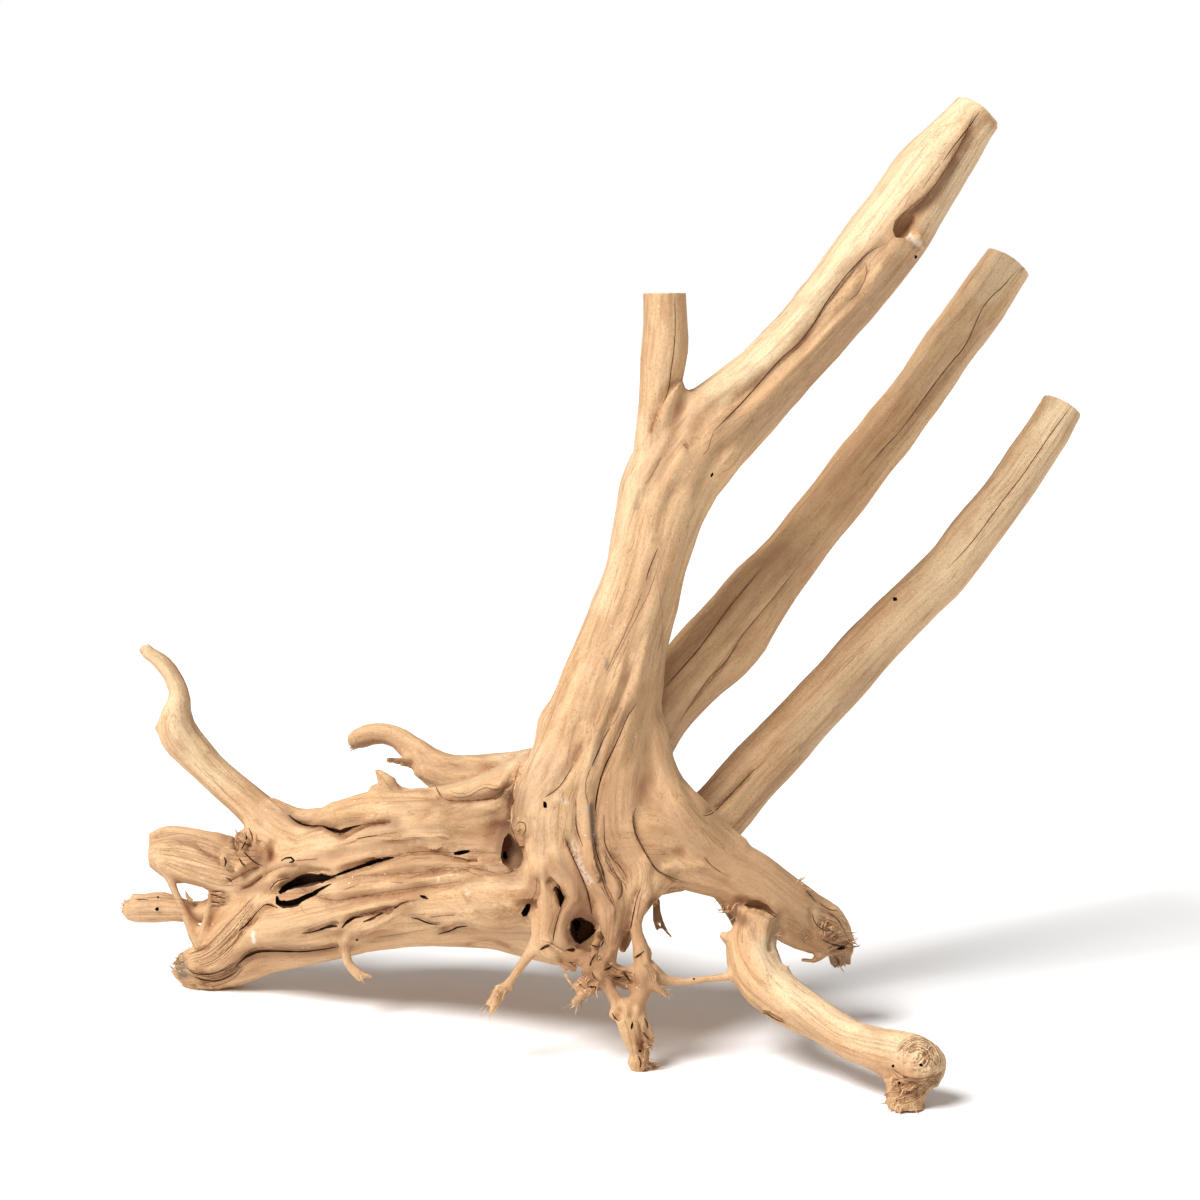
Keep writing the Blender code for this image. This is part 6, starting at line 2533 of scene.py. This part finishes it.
@dataclass
class TornFibres:
    """Loose fibres and splinters at the torn ends. Stations are shares of a fibre's length."""

    wood: bpy.types.Object
    name: str = "torn_fibres"
    seed: int = 23
    steps: int = 3
    stations: tuple[float, ...] = (-0.2, 0.3, 0.7, 1.0)
    taper: tuple[float, ...] = (1.0, 0.9, 0.6, 0.12)
    scatter: float = 0.5
    outward: float = 0.35
    lengths: tuple[float, float] = (0.35, 1.15)
    bend: float = 0.22
    widths: tuple[float, float] = (0.6, 1.3)
    sharp_degrees: float = 40.0

    def build(self) -> bpy.types.Object:
        """Makes every spray of fibres as one mesh.

        Returns:
            The finished object, without its material.
        """
        draw = np.random.default_rng(self.seed)
        tubes = []
        for spray in SPRAYS:
            tubes.extend(self._spray(spray, draw))
        fibres = Bench.tubes(self.name, tubes, self.steps, 0)
        Bench.pick(fibres)
        bpy.ops.object.shade_smooth_by_angle(angle=math.radians(self.sharp_degrees))
        log.info("%s has %d fibres", fibres.name, len(tubes))
        return fibres

    def _spray(self, spray: Spray, draw: np.random.Generator) -> list[np.ndarray]:
        """Makes one spray.

        Args:
            spray: Where the fibres root and point.
            draw: The draw of irregularities.

        Returns:
            Rows of x, y, z and radius in metres for each fibre.
        """
        start, _ = VIEW.place_at(*spray.start, 1.0)
        end, _ = VIEW.place_at(*spray.end, 1.0)
        reach = np.linalg.norm(end - start)
        way = (end - start) / reach
        tubes = []
        for _ in range(spray.count):
            guess = start + draw.normal(0, self.scatter, 3) * spray.reach * MM
            guess += way * draw.uniform(0, 1) * reach
            found, place, normal, _ = self.wood.closest_point_on_mesh(Vector(guess))
            if not found:
                continue
            root, normal = np.array(place), np.array(normal)
            aim = way + self.outward * normal + draw.normal(0, spray.spread, 3)
            aim /= np.linalg.norm(aim)
            length = spray.length * MM * draw.uniform(*self.lengths)
            bend = draw.normal(0, self.bend, 3)
            width = 0.5 * spray.width * MM * draw.uniform(*self.widths)
            rows = []
            for share, thin in zip(self.stations, self.taper):
                place = root + (aim * share + bend * max(share, 0) ** 2) * length
                place[2] = max(place[2], width * thin)
                rows.append((*place, width * thin))
            tubes.append(np.array(rows))
        return tubes


class Term:
    """A socket in an expression: each operator adds the node that works it out."""

    def __init__(self, shop: "NodeShop", socket: bpy.types.NodeSocket) -> None:
        """Wraps a socket."""
        self.shop = shop
        self.socket = socket

    def _math(self, operation: str, *values: "Term | float") -> "Term":
        """Adds a Math node."""
        return self.shop.node("ShaderNodeMath", {"operation": operation}, dict(enumerate(values)))

    def __add__(self, other: "Term | float") -> "Term":
        """Adds."""
        return self._math("ADD", self, other)

    __radd__ = __add__

    def __sub__(self, other: "Term | float") -> "Term":
        """Takes away."""
        return self._math("SUBTRACT", self, other)

    def __rsub__(self, other: float) -> "Term":
        """Takes this away from a number."""
        return self._math("SUBTRACT", other, self)

    def __mul__(self, other: "Term | float") -> "Term":
        """Multiplies."""
        return self._math("MULTIPLY", self, other)

    __rmul__ = __mul__

    def __pow__(self, other: float) -> "Term":
        """Raises to a power."""
        return self._math("POWER", self, other)

    def __truediv__(self, other: "Term | float") -> "Term":
        """Divides."""
        return self._math("DIVIDE", self, other)

    def __abs__(self) -> "Term":
        """Drops the sign."""
        return self._math("ABSOLUTE", self)

    def fraction(self) -> "Term":
        """Keeps what comes after the point."""
        return self._math("FRACT", self)

    def between(self, low: float, high: float) -> "Term":
        """Makes a soft step.

        Args:
            low: Where it is still 0.
            high: Where it is 1.

        Returns:
            The step.
        """
        settings = {"interpolation_type": "SMOOTHSTEP"}
        sockets = {"Value": self, "From Min": low, "From Max": high}
        return self.shop.node("ShaderNodeMapRange", settings, sockets)

    def held(self) -> "Term":
        """Keeps the value between 0 and 1."""
        return self.shop.node("ShaderNodeClamp", {}, {"Value": self})


Colour = tuple[float, float, float, float]


class NodeShop:
    """Adds nodes to the tree of one new material."""

    def __init__(self, name: str) -> None:
        """Starts a material with its shader.

        Args:
            name: The material's name.
        """
        self.material = bpy.data.materials.new(name)
        self.material.use_nodes = True
        self.tree = self.material.node_tree
        self.shader = self.tree.nodes["Principled BSDF"]

    def node(self, kind: str, settings: dict[str, object] | None = None,
             sockets: dict[object, object] | None = None, output: int | str = 0) -> Term:
        """Adds a node.

        Args:
            kind: The node's type.
            settings: Its settings, which are set first.
            sockets: What its sockets hold, by name or number.
            output: Which of its outputs is given back.

        Returns:
            The node's output.
        """
        node = self.tree.nodes.new(kind)
        for name, value in (settings or {}).items():
            setattr(node, name, value)
        for key, value in (sockets or {}).items():
            if isinstance(value, Term):
                self.tree.links.new(value.socket, node.inputs[key])
            else:
                node.inputs[key].default_value = value
        return Term(self, node.outputs[output])

    def value(self, name: str) -> Term:
        """Reads a number stored on the mesh."""
        return self.node("ShaderNodeAttribute", {"attribute_name": name}, output="Fac")

    def vector(self, name: str) -> Term:
        """Reads a vector stored on the mesh."""
        return self.node("ShaderNodeAttribute", {"attribute_name": name}, output="Vector")

    def scaled(self, vector: Term, scale: tuple[float, float, float]) -> Term:
        """Multiplies a vector."""
        return self.node("ShaderNodeVectorMath", {"operation": "MULTIPLY"}, {0: vector, 1: scale})

    def noise(self, vector: Term, detail: float) -> Term:
        """Reads noise at a vector, one cell per unit."""
        sockets = {"Vector": vector, "Scale": 1.0, "Detail": detail, "Roughness": 0.5}
        return self.node("ShaderNodeTexNoise", {}, sockets)

    def mix(self, factor: Term, first: Term | Colour, second: Term | Colour) -> Term:
        """Mixes two colours."""
        sockets = {0: factor, 6: first, 7: second}
        return self.node("ShaderNodeMix", {"data_type": "RGBA"}, sockets, output=2)

    def feed(self, name: str, value: Term | float | Colour) -> None:
        """Gives one of the shader's sockets a link or a constant.

        Args:
            name: The socket's name.
            value: What it holds.
        """
        if isinstance(value, Term):
            self.tree.links.new(value.socket, self.shader.inputs[name])
        else:
            self.shader.inputs[name].default_value = value


@dataclass(frozen=True)
class Grain:
    """Noise drawn out along the limbs: its size across and along them in metres, and its detail."""

    name: str
    across: float
    along: float
    detail: float = 2.0


@dataclass(frozen=True)
class Coat:
    """A colour laid over those before it.

    It follows a pattern softly from low to high, or in proportion where both are 0. Where a
    second pattern is named, it covers only as strongly as that one does.
    """

    colour: Colour
    pattern: str
    strength: float = 1.0
    low: float = 0.0
    high: float = 0.0
    where: str = ""


Shares = tuple[tuple[str, float], ...]


@dataclass(frozen=True)
class WoodFinish:
    """Bare dry root wood: its colours, its patterns and how they are laid over one another.

    A spot has a name, its size in metres and its detail. A crease is measured in half widths.
    """

    pale: Colour = (0.705, 0.468, 0.262, 1.0)
    tan: Colour = (0.570, 0.342, 0.170, 1.0)
    brown: Colour = (0.380, 0.195, 0.088, 1.0)
    # Reddish brown of random patches and blotches, and of the painted shade in hollows, crevices and beside
    # creases
    rose: Colour = (0.400, 0.190, 0.090, 1.0)
    # Colour of bleached wood, and of the painted highlight on lit tops and edges
    bleach_and_highlight: Colour = (0.820, 0.630, 0.395, 1.0)
    # Colour of the painted shadow in the deepest crevices
    dark: Colour = (0.060, 0.028, 0.014, 1.0)
    # Brown of the painted shade
    umber: Colour = (0.170, 0.085, 0.042, 1.0)
    # Dark reddish brown of the hairlines
    slit: Colour = (0.160, 0.068, 0.030, 1.0)
    # Painted shade on the walls of cut cracks and holes: the deepest and then the lightest
    inner: Colour = (0.046, 0.019, 0.009, 1.0)
    warm: Colour = (0.430, 0.225, 0.110, 1.0)
    taupe: Colour = (0.490, 0.318, 0.185, 1.0)
    grey: Colour = (0.170, 0.125, 0.085, 1.0)
    chalk: Colour = (0.850, 0.790, 0.690, 1.0)
    cut: Colour = (0.760, 0.560, 0.350, 1.0)
    stored: tuple[str, ...] = (
        "torn", "crevice_shade", "stain", "shade", "tan", "pale", "chalk", "hollow", "inside", "sawn",
        "crease_off", "crease_dark", "crease_step",
    )
    grains: tuple[Grain, ...] = (
        Grain("band", 0.0058, 0.090),
        Grain("streak", 0.0019, 0.048, 3.0),
        Grain("hair", 0.0005, 0.012),
        Grain("pore", 0.0009, 0.0014, 0.0),
        Grain("grit", 0.0008, 0.0012),
        Grain("wash", 0.0100, 0.060),
        Grain("blotch", 0.0060, 0.016, 3.0),
        Grain("check", 0.0034, 0.080),
    )
    spots: tuple[tuple[str, float, float], ...] = (
        ("patch", 0.028, 3.0), ("fleck", 0.0016, 0.0), ("ripple", 0.0016, 2.0),
    )
    check_width: float = 0.011
    check_band: tuple[float, float] = (0.46, 0.60)
    ripple_reach: float = 2.2
    line_edge: float = 0.75
    line_least: float = 0.55
    line_ripple: float = 0.8
    halo_fall: float = 0.17
    step_width: float = 0.6
    deep_from: float = 0.55
    patchy: tuple[float, float] = (0.50, 0.62)
    open_pore: tuple[float, float] = (0.80, 0.86)
    wall_edge: float = 8.0
    tone: Shares = (("band", 0.36), ("streak", 0.24), ("patch", 0.24), ("grit", 0.16))
    relief: Shares = (
        ("streak", 0.5), ("hair", 0.40), ("grit", 0.45), ("torn_hair", 0.35), ("open_pore", -0.6),
        ("hairline", -0.9), ("line", -2.0), ("step", -1.6),
    )
    bump: float = 0.00022
    roughness: float = 0.62
    rougher: Shares = (("streak", 0.16), ("torn", 0.18))
    specular: float = 0.32
    ring: float = 0.0011
    ring_wander: float = 3.0
    ring_edge: tuple[float, float] = (0.2, 0.9)
    ring_noise: float = 180.0
    speck_noise: float = 1500.0
    speck_edge: tuple[float, float] = (0.35, 0.65)
    cut_dark: float = 0.3

    def make(self) -> bpy.types.Material:
        """Makes the material.

        Returns:
            The material of the whole wood.
        """
        shop = NodeShop("dry_wood_grain")
        place = shop.vector("grain_a")
        found = self._patterns(shop, (place, shop.vector("grain_b"), shop.value("join")))
        colour: Term | Colour = self.pale
        for coat in self._coats():
            colour = shop.mix(self._cover(coat, found), colour, coat.colour)
        # Painted shade on the walls of cut cracks and holes, from a warm brown to near black
        inside = found["inside"]
        walls = shop.mix(inside, self.warm, self.inner)
        colour = shop.mix((inside * self.wall_edge).held(), colour, walls)
        colour = shop.mix(found["sawn"], colour, self._end_grain(shop, place))
        shop.feed("Base Color", colour)
        shop.feed("Roughness", (self.roughness + self._sum(self.rougher, found)).held())
        sockets = {"Height": self._sum(self.relief, found), "Strength": 1.0, "Distance": self.bump}
        shop.feed("Normal", shop.node("ShaderNodeBump", {}, sockets))
        shop.feed("Specular IOR Level", self.specular)
        return shop.material

    def _coats(self) -> tuple[Coat, ...]:
        """Lists the coats in the order in which they are laid over the pale wood.

        Returns:
            The coats.
        """
        return (
            Coat(self.tan, "tone", 1.0, 0.40, 0.60),
            Coat(self.taupe, "wash", 0.55, 0.46, 0.66),
            Coat(self.tan, "tan", 0.75),
            Coat(self.rose, "patch", 0.40, 0.40, 0.60, "tan"),
            # Bleached wood, and painted highlight on lit tops and edges
            Coat(self.bleach_and_highlight, "pale", 0.7),
            Coat(self.brown, "streak", 0.40, 0.50, 0.74),
            Coat(self.rose, "blotch", 0.30, 0.50, 0.70),
            Coat(self.brown, "hair", 0.36, 0.45, 0.80),
            Coat(self.brown, "grit", 0.32, 0.44, 0.74),
            Coat(self.brown, "hairline", 0.5),
            # Painted shade in the hollows of the skin, by how deep each point lies
            Coat(self.rose, "hollow", 0.75, 0.05, 0.75),
            # Painted shade in the crevices, pits and gaps
            Coat(self.rose, "crevice_shade", 0.85),
            # Painted shade along the painted shade lines
            Coat(self.umber, "shade"),
            # Painted shade beside the creases
            Coat(self.rose, "halo", 0.50, where="crease_dark"),
            # Painted shadow where the crevice shade is strongest
            Coat(self.dark, "deep", 1.8),
            # Dark lines of the cracks and creases, and painted shade at the bottoms of folds, valleys and
            # grooves
            Coat(self.slit, "line"),
            Coat(self.brown, "pore", 0.5, 0.78, 0.86),
            Coat(self.brown, "hair", 0.75, 0.42, 0.62, "torn"),
            Coat(self.grey, "streak", 1.0, 0.25, 0.55, "stain"),
            Coat(self.chalk, "fleck", 0.7, 0.82, 0.85, "patchy"),
            Coat(self.chalk, "fleck", 1.0, 0.30, 0.5, "chalk"),
        )

    def _patterns(self, shop: NodeShop, grain: tuple[Term, Term, Term]) -> dict[str, Term]:
        """Reads what is stored on the wood and works out its patterns.

        Args:
            shop: The material's nodes.
            grain: The two places in the limbs' frames, and how much the second counts.

        Returns:
            Every pattern by its name.
        """
        found = {name: shop.value(name) for name in self.stored}
        for kind in self.grains:
            found[kind.name] = self._along(shop, grain, kind)
        place = shop.node("ShaderNodeTexCoord", output="Object")
        for name, size, detail in self.spots:
            found[name] = shop.noise(shop.scaled(place, (1 / size,) * 3), detail)
        ripple, dark = found["ripple"], found["crease_dark"]
        off = found["crease_off"] + (ripple - 0.5) * self.ripple_reach
        line = (1.0 - abs(off)).between(0.0, self.line_edge) * dark
        # Falls off from each crease; the finish lays painted shade by it beside the creases
        halo = (1.0 - abs(off) * self.halo_fall).held() ** 2.0
        check = (1.0 - abs(found["check"] - 0.5) / self.check_width).held()
        found["line"] = line * (self.line_least + self.line_ripple * ripple)
        found["halo"] = halo
        found["step"] = found["crease_step"] * off / (abs(off) + self.step_width) * halo
        found["hairline"] = check * found["band"].between(*self.check_band)
        found["tone"] = self._sum(self.tone, found)
        # Painted shadow where the crevice shade is strongest
        found["deep"] = (found["crevice_shade"] - self.deep_from).held()
        found["patchy"] = found["patch"].between(*self.patchy)
        found["open_pore"] = found["pore"].between(*self.open_pore)
        found["torn_hair"] = found["torn"] * found["hair"]
        return found

    @staticmethod
    def _cover(coat: Coat, found: dict[str, Term]) -> Term:
        """Works out where a coat covers.

        Args:
            coat: The coat.
            found: The patterns by name.

        Returns:
            How strongly it covers, 0 to 1.
        """
        cover = found[coat.pattern]
        if coat.high > coat.low:
            cover = cover.between(coat.low, coat.high)
        if coat.where:
            cover = cover * found[coat.where]
        return (cover * coat.strength).held()

    @staticmethod
    def _sum(shares: Shares, found: dict[str, Term]) -> Term:
        """Adds patterns up.

        Args:
            shares: The patterns' names, each with its share.
            found: The patterns by name.

        Returns:
            The sum.
        """
        name, share = shares[0]
        total = found[name] * share
        for name, share in shares[1:]:
            total = total + found[name] * share
        return total

    @staticmethod
    def _along(shop: NodeShop, grain: tuple[Term, Term, Term], kind: Grain) -> Term:
        """Reads noise drawn out along the grain, blended between the two nearest limbs.

        Args:
            shop: The material's nodes.
            grain: The two places in the limbs' frames, and how much the second counts.
            kind: The noise.

        Returns:
            A number between 0 and 1.
        """
        scale = (1 / kind.across, 1 / kind.across, 1 / kind.along)
        first = shop.noise(shop.scaled(grain[0], scale), kind.detail)
        second = shop.noise(shop.scaled(grain[1], scale), kind.detail)
        return first + (second - first) * grain[2]

    def _end_grain(self, shop: NodeShop, place: Term) -> Term:
        """Makes the rings and rays of a sawn end.

        Args:
            shop: The material's nodes.
            place: The place in the limb's frame.

        Returns:
            The colour of the sawn end.
        """
        flat = shop.scaled(place, (1.0, 1.0, 0.0))
        radius = shop.node("ShaderNodeVectorMath", {"operation": "LENGTH"}, {0: flat}, output="Value")
        uneven = shop.noise(shop.scaled(flat, (self.ring_noise, self.ring_noise, 0.0)), 3.0)
        wave = (radius * (1 / self.ring) + uneven * self.ring_wander).fraction()
        speck = shop.noise(shop.scaled(flat, (self.speck_noise, self.speck_noise, 0.0)), 2.0)
        tone = (wave.between(*self.ring_edge) + speck.between(*self.speck_edge)) * self.cut_dark
        return shop.mix(tone, self.cut, self.brown)


@dataclass(frozen=True)
class FibreFinish:
    """Torn fibres: a little darker and redder than the skin of the wood."""

    pale: Colour = (0.720, 0.470, 0.260, 1.0)
    dark: Colour = (0.330, 0.170, 0.080, 1.0)
    roughness: float = 0.8
    patch: float = 0.0045
    edge: tuple[float, float] = (0.35, 0.68)

    def make(self) -> bpy.types.Material:
        """Makes the material.

        Returns:
            The material of the loose fibres.
        """
        shop = NodeShop("torn_fibre")
        place = shop.node("ShaderNodeTexCoord", output="Object")
        broad = shop.noise(shop.scaled(place, (1 / self.patch,) * 3), 2.0)
        shop.feed("Base Color", shop.mix(broad.between(*self.edge), self.pale, self.dark))
        shop.feed("Roughness", self.roughness)
        return shop.material


@dataclass
class Studio:
    """Pale floor, soft lights and the camera of the front view. Sizes in metres."""

    floor_size: float = 30.0
    floor_colour: Colour = (0.95, 0.95, 0.95, 1.0)
    floor_roughness: float = 0.9
    sky: float = 0.35
    sky_colour: Colour = (1.0, 0.985, 0.965, 1.0)
    backdrop: float = 1.0
    backdrop_colour: Colour = (1.0, 1.0, 1.0, 1.0)
    key_strength: float = 4.05
    key_softness: float = 26.0
    key_side: float = -48.0
    key_height: float = 50.0
    key_away: float = 3.0
    fill_power: float = 0.8
    fill_size: float = 1.6
    fill_place: tuple[float, float, float] = (0.6, -1.9, 0.9)
    aim: tuple[float, float, float] = (0.0, 0.0, 0.18)
    nearest: float = 0.05

    def build(self) -> None:
        """Builds the stage."""
        self._floor()
        self._sky()
        self._key()
        self._fill()
        self._camera()
        bpy.context.scene.view_settings.view_transform = "Standard"

    def _floor(self) -> None:
        """Lays the floor."""
        floor = Bench.add(bpy.ops.mesh.primitive_plane_add, size=self.floor_size)
        floor.name = "floor"
        shop = NodeShop("pale_floor")
        shop.feed("Base Color", self.floor_colour)
        shop.feed("Roughness", self.floor_roughness)
        shop.feed("Specular IOR Level", 0.0)
        floor.data.materials.append(shop.material)

    def _sky(self) -> None:
        """Lights the room evenly, with a white backdrop all round."""
        world = bpy.data.worlds.new("soft_room")
        world.use_nodes = True
        tree = world.node_tree
        light = tree.nodes["Background"]
        light.inputs["Color"].default_value = self.sky_colour
        light.inputs["Strength"].default_value = self.sky
        white = tree.nodes.new("ShaderNodeBackground")
        white.inputs["Color"].default_value = self.backdrop_colour
        white.inputs["Strength"].default_value = self.backdrop
        path = tree.nodes.new("ShaderNodeLightPath")
        mix = tree.nodes.new("ShaderNodeMixShader")
        tree.links.new(path.outputs["Is Camera Ray"], mix.inputs[0])
        tree.links.new(light.outputs[0], mix.inputs[1])
        tree.links.new(white.outputs[0], mix.inputs[2])
        tree.links.new(mix.outputs[0], tree.nodes["World Output"].inputs["Surface"])
        bpy.context.scene.world = world

    def _key(self) -> None:
        """Adds the wide soft light from the upper left."""
        side, height = math.radians(self.key_side), math.radians(self.key_height)
        flat = math.cos(height)
        away = Vector((math.sin(side) * flat, -math.cos(side) * flat, math.sin(height)))
        turn = away.to_track_quat("Z", "Y").to_euler()
        light = Bench.add(bpy.ops.object.light_add, type="SUN", location=away * self.key_away, rotation=turn)
        light.name = "key"
        light.data.energy = self.key_strength
        light.data.angle = math.radians(self.key_softness)

    def _fill(self) -> None:
        """Adds a weak soft light from the front."""
        turn = (Vector(self.fill_place) - Vector(self.aim)).to_track_quat("Z", "Y").to_euler()
        light = Bench.add(bpy.ops.object.light_add, type="AREA", location=self.fill_place, rotation=turn)
        light.name = "fill"
        light.data.energy = self.fill_power
        light.data.size = self.fill_size

    def _camera(self) -> None:
        """Sets the camera up for the front view."""
        turn = (math.radians(90 - VIEW.pitch_degrees), 0.0, 0.0)
        camera = Bench.add(bpy.ops.object.camera_add, location=VIEW.place, rotation=turn)
        camera.data.sensor_width = VIEW.sensor
        camera.data.lens = VIEW.lens
        camera.data.clip_start = self.nearest
        bpy.context.scene.camera = camera


def main() -> None:
    """Builds the wood, its fibres and the studio in order, and reports each piece."""
    logging.basicConfig(level=logging.INFO, format="%(name)s: %(message)s")
    Studio().build()
    log.info("studio is set")
    wood = DriftwoodBody().build()
    wood.data.materials.clear()
    wood.data.materials.append(WoodFinish().make())
    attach(wood, BODY)
    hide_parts(NODE)
    fibres = TornFibres(wood).build()
    fibres.data.materials.clear()
    fibres.data.materials.append(FibreFinish().make())
    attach(fibres, BODY)


if __name__ == "__main__":
    main()
